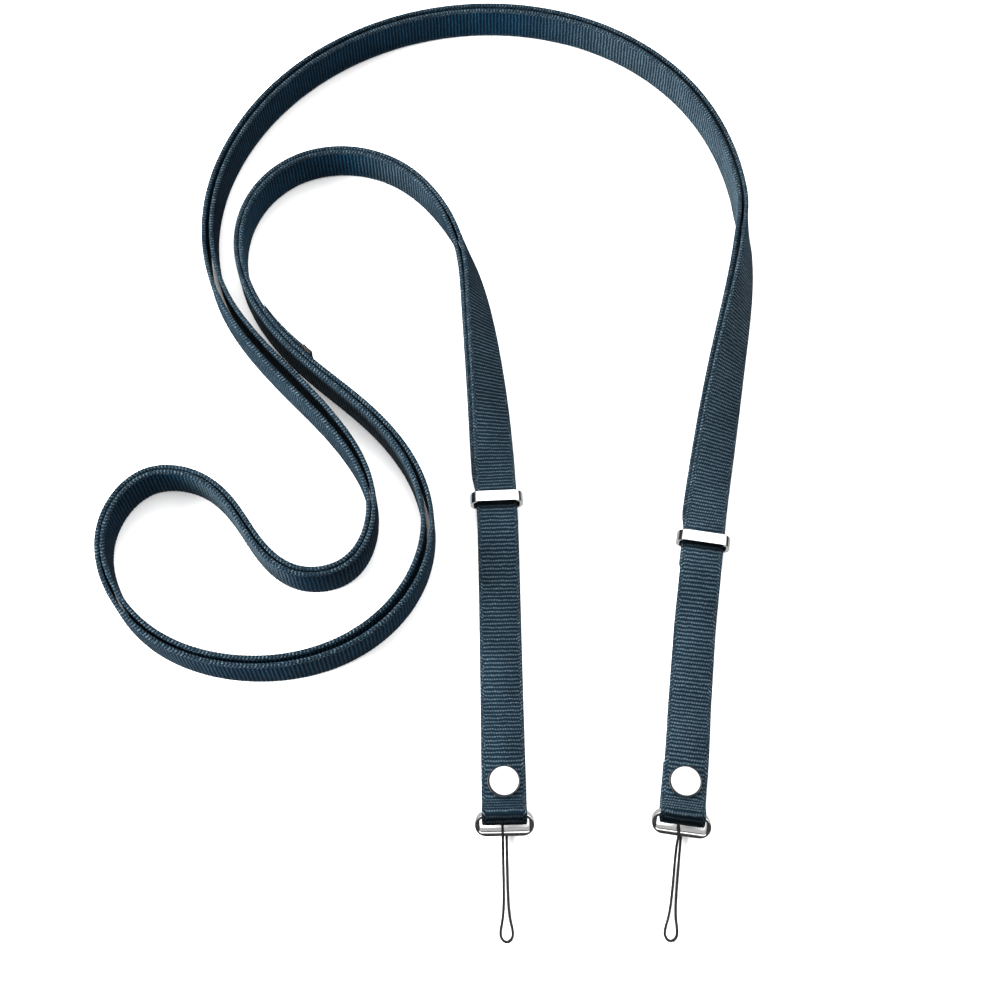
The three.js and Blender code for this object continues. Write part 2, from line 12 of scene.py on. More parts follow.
import bmesh
import bpy
import numpy as np
from mathutils import Matrix, Vector


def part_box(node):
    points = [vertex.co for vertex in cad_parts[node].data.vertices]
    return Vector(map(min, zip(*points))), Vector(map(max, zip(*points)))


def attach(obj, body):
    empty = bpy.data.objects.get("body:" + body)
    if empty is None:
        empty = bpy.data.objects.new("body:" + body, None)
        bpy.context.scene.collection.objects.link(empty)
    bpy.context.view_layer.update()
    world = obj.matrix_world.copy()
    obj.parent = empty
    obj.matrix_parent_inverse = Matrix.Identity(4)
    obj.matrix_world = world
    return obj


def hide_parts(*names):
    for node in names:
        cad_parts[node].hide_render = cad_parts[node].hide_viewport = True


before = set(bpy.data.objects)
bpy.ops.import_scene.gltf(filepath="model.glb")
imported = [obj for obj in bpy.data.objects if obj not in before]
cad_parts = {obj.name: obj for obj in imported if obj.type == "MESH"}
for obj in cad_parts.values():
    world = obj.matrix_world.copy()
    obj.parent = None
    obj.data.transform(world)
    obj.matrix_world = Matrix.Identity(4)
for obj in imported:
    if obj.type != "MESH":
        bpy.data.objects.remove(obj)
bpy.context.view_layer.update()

bl_info = {
    "name": "Phone Crossbody Strap",
    "version": (1, 0, 0),
    "blender": (4, 5, 0),
    "location": "3D View > Sidebar > Strap",
    "description": "Builds a doubled grosgrain strap with its sliders, rings, snaps and tethers",
    "category": "Add Mesh",
}

MM = 0.001

# The strap's fittings and ribbon, in millimetres
RIBBON_WIDTH = 15
RIBBON_THICKNESS = 1.7
EDGE_SLIP = 1.2
LAY_WIDTH = 242
LAY_LENGTH = 360
LOOP_WIDTH = 19.6
LOOP_BAND = 4.2
LOOP_WALL = 1.6
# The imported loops' edges are rounded by 0.45, and these by more, as the real ones look
LOOP_EDGE_ROUND = 1.0
OPENING_EDGE_ROUND = 0.4
OPENING_CORNER = 0.8
RING_TILT = math.radians(34)
SLIDER_FROM_RING = {"right": 104, "left": 120}
SNAP_FROM_RING = 13.5
TAIL_PAST_SNAP = 7.3
FOLD_BELOW_SLIDER = 7
FOLD_TAIL_LENGTH = 12
CAP_DIAMETER = 11
CAP_RISE = 2.1
CAP_RIM = 0.6
SHANK_DIAMETER = 3.2
BACK_THICKNESS = 1
DRUM_HEIGHT = 1.6
SEAM_AT = 0.728
SEAM_LAP_LENGTH = 25
SEAM_TACK_LENGTH = 5
SEAM_TACK_THICKNESS = 1.8
CORD_DIAMETER = 0.9
CORD_WRAP_RADIUS = 1.8
CLEARANCE = 0.3

STATION_SPACING = 1.2
# Lengths of the painted shade on the front ply: up the strap from the ring, down the strap from the slider's
# middle, and the length over which it fades
RING_SHADE_LENGTH = 2.0
SLIDER_SHADE_LENGTH = 4.4
SHADE_FADE_LENGTH = 0.8
THREAD_COUNT = 20
THREAD_RADIUS = 0.42
THREADS_SHORT_OF_WIDTH = 0.8
CAMERA_AIM = (21, -55.8, 0)
CAMERA_LENS = 50.4

# The strap's middle line, from the right ring to the left ring: shares of the lay's width and length,
# the air between the plies as a share of the ribbon's thickness, and the turn from upright in degrees
Bend = namedtuple("Bend", "name across along air twist")
LAY = [
    Bend("right ring", 0.841, 0.001, 0.2, -90),
    Bend("right lower strap", 0.871, 0.149, 0.2, -90),
    Bend("right slider", 0.9, 0.293, 0.2, -90),
    Bend("right strap starts to lean", 0.923, 0.376, 0.2, -80),
    Bend("right strap half over", 0.964, 0.515, 0.4, -52),
    Bend("right strap nearly upright", 1.0, 0.649, 0.7, -21),
    Bend("right strap upright", 1.002, 0.721, 0.5, 0),
    Bend("big loop, right shoulder", 0.982, 0.793, 0.7, 0),
    Bend("big loop, upper right", 0.931, 0.87, 0.8, 0),
    Bend("big loop, top right", 0.775, 0.967, 0.8, 0),
    Bend("big loop, top", 0.593, 1.0, 0.9, 0),
    Bend("big loop, top left", 0.409, 0.98, 0.9, 0),
    Bend("big loop, upper left", 0.233, 0.9, 0.9, 0),
    Bend("big loop, left shoulder", 0.134, 0.793, 0.8, 0),
    Bend("big loop, left side", 0.104, 0.688, 0.8, 0),
    Bend("big loop, left foot", 0.1377, 0.5804, 1.1, 0),
    Bend("slope beside the seam", 0.2615, 0.4685, 1.8, 0),
    Bend("slope to the hook", 0.358, 0.3905, 1.1, 0),
    Bend("hook, right side", 0.4, 0.31, 0.2, 0),
    Bend("hook, bottom right", 0.363, 0.252, 0.3, 0),
    Bend("hook, bottom", 0.297, 0.2442, 0.3, 0),
    Bend("hook, left side", 0.238, 0.272, 0.4, 0),
    Bend("small loop, neck", 0.197, 0.311, 0.4, 0),
    Bend("small loop, top right", 0.133, 0.35, 0.2, 0),
    Bend("small loop, top left", 0.056, 0.353, 0.2, 0),
    Bend("small loop, left shoulder", 0.006, 0.311, 0.2, 0),
    Bend("small loop, left side", 0.001, 0.274, 0.2, 0),
    Bend("small loop, lower left", 0.031, 0.221, 0.5, 0),
    Bend("small loop, bottom left", 0.085, 0.182, 0.6, 0),
    Bend("small loop, bottom", 0.234, 0.149, 0.7, 0),
    Bend("small loop, bottom right", 0.3696, 0.1692, 1.0, 0),
    Bend("small loop, lower right", 0.447, 0.215, 1.2, 0),
    Bend("small loop, right side", 0.485, 0.293, 0.9, 0),
    Bend("small loop, upper right", 0.464, 0.356, 0.7, 0),
    Bend("slope below the seam", 0.3889, 0.4276, 0.4, 0),
    Bend("seam", 0.272, 0.5, 0.2, 0),
    Bend("middle loop, left foot", 0.1864, 0.579, 0.2, 0),
    Bend("middle loop, left side", 0.159, 0.649, 0.2, 0),
    Bend("middle loop, upper left", 0.186, 0.724, 0.2, 0),
    Bend("middle loop, top left", 0.247, 0.764, 0.2, 0),
    Bend("middle loop, top", 0.324, 0.776, 0.2, 0),
    Bend("middle loop, top right", 0.421, 0.754, 0.2, 0),
    Bend("left strap upright", 0.474, 0.719, 0.2, 2),
    Bend("left strap leans", 0.529, 0.649, 0.5, 14),
    Bend("left strap half over", 0.558, 0.554, 0.2, 43),
    Bend("left strap nearly flat", 0.575, 0.454, 0.2, 66),
    Bend("left slider", 0.587, 0.343, 0.2, 90),
    Bend("left lower strap", 0.594, 0.176, 0.2, 90),
    Bend("left ring", 0.599, 0.001, 0.2, 90),
]

# A tether's route from its ring, in millimetres: to the side, up the strap and up from the table
TETHER_ROUTE = [
    (-0.65, -1.55, 0.5),
    (-0.65, -0.28, 1.03),
    (-0.65, 0.25, 2.3),
    (-0.65, -0.06, 3.31),
    (-0.65, -1.84, 5.97),
    (-0.65, -2.99, 6.73),
    (-0.65, -4.34, 6.45),
    (-0.65, -5.16, 5.3),
    (-0.65, -5.94, 3.7),
    (-0.65, -7.3, 2.1),
    (-0.65, -9.6, 1.1),
    (-0.65, -12.6, 0.6),
    (-0.65, -16, 0.5),
    (-0.7, -22, 0.5),
    (-0.9, -27, 0.5),
    (-1.4, -31, 0.5),
    (-1.95, -34, 0.5),
    (-1.6, -36.2, 0.5),
    (0, -37.3, 0.5),
    (1.6, -36.2, 0.5),
    (1.95, -34, 0.5),
    (1.4, -31, 0.5),
    (0.9, -27, 0.5),
    (0.7, -22, 0.5),
    (0.65, -14, 0.5),
    (0.65, -6, 0.5),
    (0.65, -1.1, 0.5),
]

# Sizes and heights that follow
HALF_PLY = RIBBON_THICKNESS / 2
OPENING_HEIGHT = 2 * RIBBON_THICKNESS + 3 * CLEARANCE
LOOP_HEIGHT = OPENING_HEIGHT + 2 * LOOP_WALL
BAR_OFFSET = (OPENING_HEIGHT + LOOP_WALL) / 2
WRAP_RADIUS = CLEARANCE + HALF_PLY
SLIDER_BOTTOM = RIBBON_THICKNESS + CLEARANCE
REAR_PLY_IN_SLIDER = SLIDER_BOTTOM + LOOP_WALL + CLEARANCE + HALF_PLY
FRONT_PLY_IN_SLIDER = REAR_PLY_IN_SLIDER + RIBBON_THICKNESS + CLEARANCE
PAIR_ON_TABLE = RIBBON_THICKNESS + CLEARANCE / 2
SLIDER_LIFT = (REAR_PLY_IN_SLIDER + FRONT_PLY_IN_SLIDER) / 2 - PAIR_ON_TABLE
TAIL_LIFT = RIBBON_THICKNESS + CLEARANCE
TAIL_AT_SNAP = BACK_THICKNESS + CLEARANCE + HALF_PLY
DRUM_BOTTOM = TAIL_AT_SNAP + HALF_PLY + CLEARANCE
FRONT_PLY_AT_SNAP = DRUM_BOTTOM + DRUM_HEIGHT + CLEARANCE + HALF_PLY
CAP_BOTTOM = FRONT_PLY_AT_SNAP + HALF_PLY + CLEARANCE
CORD_ON_TABLE = CORD_DIAMETER / 2 + 0.05
RING_HEIGHT = (CORD_ON_TABLE + CORD_WRAP_RADIUS + (LOOP_BAND / 2 - 0.5) * math.cos(RING_TILT)
               + BAR_OFFSET * math.sin(RING_TILT))


# The lay of the strap

def span_of(knots, at):
    """The stretch of the table that a value falls in."""
    i = 0
    while i < len(knots) - 2 and at > knots[i + 1]:
        i += 1
    return i


def springy(knots, values):
    """Values between the knots, bent like a springy strip: a natural cubic spline."""
    last = len(knots) - 1
    bend = [0.0] * len(knots)
    carried = [0.0] * len(knots)
    for i in range(1, last):
        before = knots[i] - knots[i - 1]
        after = knots[i + 1] - knots[i]
        change = (values[i + 1] - values[i]) / after - (values[i] - values[i - 1]) / before
        pivot = 2 * (before + after) - before * carried[i - 1]
        carried[i] = after / pivot
        bend[i] = (6 * change - before * bend[i - 1]) / pivot
    for i in range(last - 1, 0, -1):
        bend[i] -= carried[i] * bend[i + 1]

    def value(at):
        i = span_of(knots, at)
        length = knots[i + 1] - knots[i]
        b = (at - knots[i]) / length
        a = 1 - b
        bulge = ((a**3 - a) * bend[i] + (b**3 - b) * bend[i + 1]) * length * length / 6
        return a * values[i] + b * values[i + 1] + bulge

    return value


def steady(knots, values):
    """Values between the knots that never swing past the table's rows: a monotone cubic."""
    rises = [(values[i + 1] - values[i]) / (knots[i + 1] - knots[i]) for i in range(len(knots) - 1)]
    slopes = [0.0] * len(knots)
    for i in range(1, len(knots) - 1):
        if rises[i - 1] * rises[i] > 0:
            slopes[i] = 2 / (1 / rises[i - 1] + 1 / rises[i])

    def value(at):
        i = span_of(knots, at)
        length = knots[i + 1] - knots[i]
        t = min(max((at - knots[i]) / length, 0), 1)
        ease = t * t * (3 - 2 * t)
        leaving = t * (1 - t) ** 2 * length * slopes[i]
        arriving = t * t * (t - 1) * length * slopes[i + 1]
        return values[i] + (values[i + 1] - values[i]) * ease + leaving + arriving

    return value


lay_places = [Vector((bend.across * LAY_WIDTH, bend.along * LAY_LENGTH)) for bend in LAY]
lay_runs = [0.0]
for before, after in zip(lay_places, lay_places[1:]):
    lay_runs.append(lay_runs[-1] + (after - before).length)
RUN_END = lay_runs[-1]
route_x = springy(lay_runs, [place.x for place in lay_places])
route_y = springy(lay_runs, [place.y for place in lay_places])
route_air = steady(lay_runs, [bend.air * RIBBON_THICKNESS for bend in LAY])
route_twist = steady(lay_runs, [math.radians(bend.twist) for bend in LAY])
lift_beyond_slider = steady([LOOP_BAND / 2 + CLEARANCE, FOLD_TAIL_LENGTH, FOLD_TAIL_LENGTH + 20],
                            [SLIDER_LIFT, TAIL_LIFT, 0])
slip_beyond_slider = steady([LOOP_BAND / 2, FOLD_TAIL_LENGTH], [0, EDGE_SLIP])
RIGHT_SLIDER_RUN = SLIDER_FROM_RING["right"]
LEFT_SLIDER_RUN = RUN_END - SLIDER_FROM_RING["left"]


def middle_of(node):
    """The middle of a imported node's box."""
    low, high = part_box(node)
    return (low + high) / 2


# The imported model's origin, seen from the corner of the lay
slider_middle = middle_of("slider_right") / MM
LAY_ORIGIN = Vector((slider_middle.x - route_x(RIGHT_SLIDER_RUN),
                     slider_middle.y - route_y(RIGHT_SLIDER_RUN), 0))


def route_at(run):
    """Place and heading on the table, in millimetres. The route runs on straight past both rings."""
    inside = min(max(run, 0), RUN_END)
    near = min(max(inside, 0.5), RUN_END - 0.5)
    heading = Vector((route_x(near + 0.5) - route_x(near - 0.5),
                      route_y(near + 0.5) - route_y(near - 0.5), 0)).normalized()
    place = Vector((route_x(inside), route_y(inside), 0)) + LAY_ORIGIN
    return place + heading * (run - inside), heading


# A station's last field is the painted shade on the ribbon there, from 0 for none to 1 for the darkest
Station = namedtuple("Station", "place across fold", defaults=(0,))


def pair_station(run, side):
    """A ply of the pair between the sliders: side is 1 to the right of the run, -1 to the left."""
    place, heading = route_at(run)
    twist, air = route_twist(run), route_air(run)
    right, up = Vector((heading.y, -heading.x, 0)), Vector((0, 0, 1))
    across = up * math.cos(twist) + right * math.sin(twist)
    facing = right * math.cos(twist) - up * math.sin(twist)
    from_slider = min(run - RIGHT_SLIDER_RUN, LEFT_SLIDER_RUN - run)
    rise = RIBBON_WIDTH / 2 * math.cos(twist) + (RIBBON_THICKNESS + air / 2) * abs(math.sin(twist))
    place.z = rise + lift_beyond_slider(from_slider)
    place += facing * side * (RIBBON_THICKNESS + air) / 2
    if side * facing.z < 0:
        place += across * slip_beyond_slider(from_slider) * math.sin(twist) ** 2
    return Station(place, across)


def flat_station(end, distance, height):
    """A ply lying flat near one end, where distance is up the strap from that end's ring."""
    place, heading = route_at(distance if end == "right" else RUN_END - distance)
    across = Vector((-heading.y, heading.x, 0)) * (1 if end == "right" else -1)
    place.z = height
    return Station(place, across)


def eased_heights(start, stop, steps):
    """From one (distance, height) to another, level at both ends."""
    shares = [i / steps for i in range(steps + 1)]
    return [(start[0] + (stop[0] - start[0]) * t,
             start[1] + (stop[1] - start[1]) * t * t * (3 - 2 * t)) for t in shares]


def arc(centre, radius, start, stop):
    """Points along an arc between two angles."""
    steps = max(2, math.ceil(abs(stop - start) / math.radians(8)))
    angles = [start + (stop - start) * i / steps for i in range(steps + 1)]
    return [(centre[0] + radius * math.cos(a), centre[1] + radius * math.sin(a)) for a in angles]


def slope_bend(start, stop, slope):
    """A bend from a level stretch to a slope."""
    corner = stop[0] + abs(stop[1] - start[1]) / math.tan(slope)
    points = []
    for i in range(16):
        t = i / 16
        x = (1 - t) ** 2 * start[0] + 2 * t * (1 - t) * corner + t * t * stop[0]
        z = (1 - t) ** 2 * start[1] + 2 * t * (1 - t) * start[1] + t * t * stop[1]
        points.append((x, z))
    return points


def front_end(slider_from_ring):
    """The front ply's end: tail, snap, round the ring's far bar, snap again and slider."""
    band = Vector((-math.sin(RING_TILT), math.cos(RING_TILT)))
    depth = Vector((math.cos(RING_TILT), math.sin(RING_TILT)))
    bar = Vector((0, RING_HEIGHT)) + depth * BAR_OFFSET

    def corner(along_band, along_depth):
        return bar + band * along_band * LOOP_BAND / 2 + depth * along_depth * LOOP_WALL / 2

    tail_slope, front_slope = math.radians(25), math.radians(45)
    inner_face, over_rim = RING_TILT + math.pi, RING_TILT + math.pi / 2
    under_bar = arc(corner(-1, -1), WRAP_RADIUS, 1.5 * math.pi - tail_slope, inner_face)
    up_inside = arc(corner(1, -1), WRAP_RADIUS, inner_face, over_rim)
    over_top = arc(corner(1, 1), WRAP_RADIUS, over_rim, math.pi / 2 - front_slope)
    snap_edge = SNAP_FROM_RING - CAP_DIAMETER / 2
    past_snap = SNAP_FROM_RING + CAP_DIAMETER / 2
    fold_end = slider_from_ring - FOLD_BELOW_SLIDER - LOOP_HEIGHT / 2
    from_ring = slope_bend((snap_edge, FRONT_PLY_AT_SNAP), over_top[-1], front_slope)
    return [
        (SNAP_FROM_RING + TAIL_PAST_SNAP, TAIL_AT_SNAP),
        (SNAP_FROM_RING, TAIL_AT_SNAP),
        *slope_bend((snap_edge, TAIL_AT_SNAP), under_bar[0], tail_slope),
        *under_bar,
        *up_inside,
        *over_top,
        *reversed(from_ring),
        (SNAP_FROM_RING, FRONT_PLY_AT_SNAP),
        *eased_heights((past_snap, FRONT_PLY_AT_SNAP), (past_snap + 28, HALF_PLY), 24),
        *eased_heights((fold_end - 26, HALF_PLY), (fold_end, FRONT_PLY_IN_SLIDER), 24),
        *((slider_from_ring - back, FRONT_PLY_IN_SLIDER) for back in (5, 4, 3, 2, 0)),
    ]


def rear_end(slider_from_ring):
    """The rear ply's end: down through the slider, a loose turn back and the tail under the rear bar."""
    radius = (REAR_PLY_IN_SLIDER - HALF_PLY) / 2
    fold_centre = (slider_from_ring - FOLD_BELOW_SLIDER, HALF_PLY + radius)
    return [
        (slider_from_ring, REAR_PLY_IN_SLIDER),
        *arc(fold_centre, radius, math.pi / 2, 1.5 * math.pi),
        (slider_from_ring + FOLD_TAIL_LENGTH / 2, HALF_PLY),
        (slider_from_ring + FOLD_TAIL_LENGTH, HALF_PLY),
    ]


def end_shade(distance, slider_from_ring):
    """Painted shade on the front ply, from 0 to 1: where it turns round the ring's far bar, and just below
    and under the slider's bar.
    """
    in_ring_fold = (RING_SHADE_LENGTH - distance) / SHADE_FADE_LENGTH
    under_slider = (distance - slider_from_ring + SLIDER_SHADE_LENGTH) / SHADE_FADE_LENGTH
    return min(1, max(0, in_ring_fold, under_slider))


def ply_stations(side):
    """One whole ply: it is the front ply at one end and the rear ply at the other."""
    front_side, rear_side = ("right", "left") if side == 1 else ("left", "right")
    slider = SLIDER_FROM_RING[front_side]
    # The front ply carries painted shade where it turns round the ring and just below the slider
    front = [flat_station(front_side, *at)._replace(fold=end_shade(at[0], slider))
             for at in front_end(slider)]
    rear = [flat_station(rear_side, *at) for at in rear_end(SLIDER_FROM_RING[rear_side])]
    start = RIGHT_SLIDER_RUN + LOOP_BAND / 2 + CLEARANCE
    stop = LEFT_SLIDER_RUN - LOOP_BAND / 2 - CLEARANCE
    steps = math.ceil((stop - start) / STATION_SPACING)
    middle = [pair_station(start + (stop - start) * i / steps, side) for i in range(steps + 1)]
    if side == 1:
        return front + middle + rear
    return rear[::-1] + middle + front[::-1]


def beside_ply(from_run, to_run, outward, count):
    """Stations beside the ply to the right of the run, for what is sewn on its outer face."""
    stations = []
    for i in range(count + 1):
        run = from_run + (to_run - from_run) * i / count
        station = pair_station(run, 1)
        heading = route_at(run)[1]
        place = station.place + Vector((heading.y, -heading.x, 0)) * outward
        stations.append(Station(place, station.across))
    return stations


def end_matrix(end, distance):
    """From an end's own directions, to the side, up the strap and up, to the row frame in metres."""
    place, heading = route_at(distance if end == "right" else RUN_END - distance)
    up_strap = heading if end == "right" else -heading
    turn = Matrix.Rotation(math.atan2(-up_strap.x, up_strap.y), 4, "Z")
    return Matrix.Scale(MM, 4) @ Matrix.Translation(place) @ turn


# Modelling helpers

def start_piece(name, add, **sizes):
    """Adds a primitive with nothing else selected and names it."""
    if bpy.context.object and bpy.context.object.mode != "OBJECT":
        bpy.ops.object.mode_set(mode="OBJECT")
    bpy.ops.object.select_all(action="DESELECT")
    add(**sizes)
    piece = bpy.context.object
    bpy.ops.object.transform_apply(location=True, rotation=True, scale=True)
    piece.name = name
    piece.data.name = name
    return piece


def edit(piece):
    """The piece's mesh in edit mode, with nothing selected."""
    bpy.ops.object.mode_set(mode="OBJECT")
    bpy.ops.object.select_all(action="DESELECT")
    bpy.context.view_layer.objects.active = piece
    piece.select_set(True)
    bpy.ops.object.mode_set(mode="EDIT")
    bpy.ops.mesh.select_all(action="DESELECT")


def done_editing():
    """Back to object mode."""
    bpy.ops.object.mode_set(mode="OBJECT")


def select(piece, kind, wanted):
    """Selects the faces or edges whose test is true."""
    bpy.ops.mesh.select_mode(type="FACE" if kind == "faces" else "EDGE")
    bpy.ops.mesh.select_all(action="DESELECT")
    mesh = bmesh.from_edit_mesh(piece.data)
    for element in getattr(mesh, kind):
        if wanted(element):
            element.select_set(True)
    bmesh.update_edit_mesh(piece.data)


def cut_across(places, direction):
    """Cuts the whole mesh being edited by planes at these places along a direction."""
    for place in places:
        bpy.ops.mesh.select_all(action="SELECT")
        bpy.ops.mesh.bisect(plane_co=Vector(direction) * place, plane_no=direction, threshold=1e-5)


def finish_with(piece, kind, **settings):
    """Adds a modifier and applies it."""
    bpy.ops.object.select_all(action="DESELECT")
    bpy.context.view_layer.objects.active = piece
    piece.select_set(True)
    modifier = piece.modifiers.new(kind.title(), kind)
    for key, value in settings.items():
        setattr(modifier, key, value)
    bpy.ops.object.modifier_apply(modifier=modifier.name)


def smooth(piece, degrees):
    """Smooth shading, except over edges sharper than the angle."""
    bpy.ops.object.select_all(action="DESELECT")
    bpy.context.view_layer.objects.active = piece
    piece.select_set(True)
    bpy.ops.object.shade_smooth_by_angle(angle=math.radians(degrees))


def copy_of(piece, name):
    """A copy with a mesh of its own."""
    twin = piece.copy()
    twin.data = piece.data.copy()
    twin.name = name
    twin.data.name = name
    bpy.context.scene.collection.objects.link(twin)
    return twin


def settle(piece, material, slot, *nodes):
    """Gives the piece its material, and its place in the frame."""
    piece.data.materials.clear()
    piece.data.materials.append(material)
    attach(piece, "root")
    if nodes:
        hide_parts(*nodes)


# Materials

def add_node(tree, kind, links=None, **settings):
    """Adds a shader node. links gives each input, by name or number, a value or a socket."""
    node = tree.nodes.new(kind)
    for key, value in settings.items():
        setattr(node, key, value)
    for key, value in (links or {}).items():
        if isinstance(value, bpy.types.NodeSocket):
            tree.links.new(value, node.inputs[key])
        else:
            node.inputs[key].default_value = value
    return node


def maths(tree, operation, first, second=0.0, third=0.0):
    """The result of a maths node."""
    node = add_node(tree, "ShaderNodeMath", {0: first, 1: second, 2: third}, operation=operation)
    return node.outputs[0]


def ramp(tree, value, low, high, start=0.0, stop=1.0):
    """A value eased from one range to another."""
    node = add_node(tree, "ShaderNodeMapRange",
                    {"Value": value, "From Min": low, "From Max": high, "To Min": start, "To Max": stop},
                    interpolation_type="SMOOTHSTEP")
    return node.outputs["Result"]


def mixed(tree, share, first, second, blend="MIX"):
    """Two colours mixed."""
    node = tree.nodes.new("ShaderNodeMix")
    node.data_type = "RGBA"
    node.blend_type = blend
    for key, value in ((0, share), (6, first), (7, second)):
        if isinstance(value, bpy.types.NodeSocket):
            tree.links.new(value, node.inputs[key])
        else:
            node.inputs[key].default_value = value
    return node.outputs[2]


def new_group(name, inputs, outputs):
    """A shader group with its input and output nodes."""
    group = bpy.data.node_groups.new(name, "ShaderNodeTree")
    for socket, kind, value in inputs:
        made = group.interface.new_socket(socket, in_out="INPUT", socket_type=kind)
        made.default_value = value
    for socket, kind in outputs:
        group.interface.new_socket(socket, in_out="OUTPUT", socket_type=kind)
    return group, group.nodes.new("NodeGroupInput"), group.nodes.new("NodeGroupOutput")


def weave_group():
    """Grosgrain by its place on the ribbon: ribs across it, fine yarns along it and braided edges, with
    painted shade and painted light over its colour.
    """
    tree, given, out = new_group(
        "grosgrain weave",
        [("Rib Pitch", "NodeSocketFloat", 1.5), ("Rib Half Width", "NodeSocketFloat", 6.1),
         ("Groove Colour", "NodeSocketColor", (0.01, 0.02, 0.03, 1)),
         ("Rib Colour", "NodeSocketColor", (0.05, 0.09, 0.12, 1)),
         ("Fleck Colour", "NodeSocketColor", (0.15, 0.2, 0.22, 1)),
         ("Dull Tint", "NodeSocketColor", (0.15, 0.55, 0.8, 1))],
        [("Colour", "NodeSocketColor"), ("Roughness", "NodeSocketFloat"), ("Height", "NodeSocketFloat")])
    place = add_node(tree, "ShaderNodeAttribute", attribute_name="weave")
    axes = add_node(tree, "ShaderNodeSeparateXYZ", {0: place.outputs["Vector"]})
    run, across, outward = axes.outputs[0], axes.outputs[1], axes.outputs[2]
    sway = add_node(tree, "ShaderNodeTexNoise",
                    {"Vector": place.outputs["Vector"], "Scale": 0.45, "Detail": 2.0})
    straight = maths(tree, "MULTIPLY", maths(tree, "DIVIDE", run, given.outputs["Rib Pitch"]), 2 * math.pi)
    phase = maths(tree, "MULTIPLY_ADD", sway.outputs["Fac"], 3.4, straight)
    rib = maths(tree, "MULTIPLY_ADD", maths(tree, "COSINE", phase), -0.5, 0.5)
    grain = add_node(tree, "ShaderNodeTexNoise",
                     {"Vector": place.outputs["Vector"], "Scale": 2.2, "Detail": 3.0})
    wobble = maths(tree, "MULTIPLY_ADD", grain.outputs["Fac"], 2.4, -1.2)
    lean = maths(tree, "MULTIPLY_ADD", run, 1.6, wobble)
    yarn_phase = maths(tree, "MULTIPLY_ADD", across, 2 * math.pi / 0.87, lean)
    yarn = ramp(tree, maths(tree, "SINE", yarn_phase), -0.8, 0.6)
    from_middle = maths(tree, "ABSOLUTE", across)
    edge_from = given.outputs["Rib Half Width"]
    selvedge = ramp(tree, maths(tree, "SUBTRACT", from_middle, edge_from), -0.08, 0.08)
    stitch = maths(tree, "MULTIPLY_ADD", run, 2 * math.pi / 1.3, maths(tree, "MULTIPLY", wobble, 1.7))
    over_edge = maths(tree, "MULTIPLY_ADD", maths(tree, "ABSOLUTE", outward), 4.5, stitch)
    slant = maths(tree, "MULTIPLY_ADD", maths(tree, "SUBTRACT", from_middle, edge_from), 4.2, over_edge)
    speckle = ramp(tree, grain.outputs["Fac"], 0.38, 0.6, 0.15, 1.0)
    braid = maths(tree, "MULTIPLY", ramp(tree, maths(tree, "SINE", slant), 0.05, 0.85, 0.0, 1.1), speckle)
    yarn_light = maths(tree, "MULTIPLY_ADD", yarn, 0.75, 0.25)
    rib_light = maths(tree, "MULTIPLY", ramp(tree, rib, 0.45, 0.97), yarn_light)
    light = add_node(tree, "ShaderNodeMix", {0: selvedge, 2: rib_light, 3: braid},
                     data_type="FLOAT").outputs[0]
    patches = add_node(tree, "ShaderNodeTexNoise",
                       {"Vector": place.outputs["Vector"], "Scale": 0.09, "Detail": 2.0})
    cloth = mixed(tree, light, given.outputs["Groove Colour"], given.outputs["Rib Colour"])
    fleck = maths(tree, "MULTIPLY", ramp(tree, grain.outputs["Fac"], 0.5, 0.68), light)
    fleck_share = maths(tree, "MULTIPLY_ADD", selvedge, 0.3, 0.7)
    flecked = mixed(tree, maths(tree, "MULTIPLY", fleck, fleck_share), cloth, given.outputs["Fleck Colour"])
    # Painted shade: up to 85 % darker where the front ply turns round the ring and just below the slider
    fold = add_node(tree, "ShaderNodeAttribute", attribute_name="fold")
    left_after_painted_shade = maths(tree, "MULTIPLY_ADD", fold.outputs["Fac"], -0.85, 1.0)
    # Random tone in broad patches, times the painted shade
    shade = maths(tree, "MULTIPLY", ramp(tree, patches.outputs["Fac"], 0.25, 0.75, 0.86, 1.14), left_after_painted_shade)
    shade_colour = add_node(tree, "ShaderNodeCombineColor", {0: shade, 1: shade, 2: shade})
    # Painted light and painted shade: faces turned up or to the left keep the full colour, the braided edges
    # nearly so, and the rest are multiplied by the painted shade colour
    shine = add_node(tree, "ShaderNodeAttribute", attribute_name="shine")
    painted_lit_share = maths(tree, "MAXIMUM", ramp(tree, shine.outputs["Fac"], 0.0, 0.55),
                    maths(tree, "MULTIPLY", selvedge, 0.9))
    painted_light_factor = mixed(tree, painted_lit_share, given.outputs["Dull Tint"], (1, 1, 1, 1))
    with_painted_light = mixed(tree, 1.0, flecked, painted_light_factor, "MULTIPLY")
    colour = mixed(tree, 1.0, with_painted_light, shade_colour.outputs[0], "MULTIPLY")
    rough = ramp(tree, grain.outputs["Fac"], 0.3, 0.7, 0.7, 0.9)
    height = maths(tree, "ADD", maths(tree, "MULTIPLY", light, 0.6), maths(tree, "MULTIPLY", yarn, 0.4))
    tree.links.new(colour, out.inputs["Colour"])
    tree.links.new(rough, out.inputs["Roughness"])
    tree.links.new(height, out.inputs["Height"])
    return tree


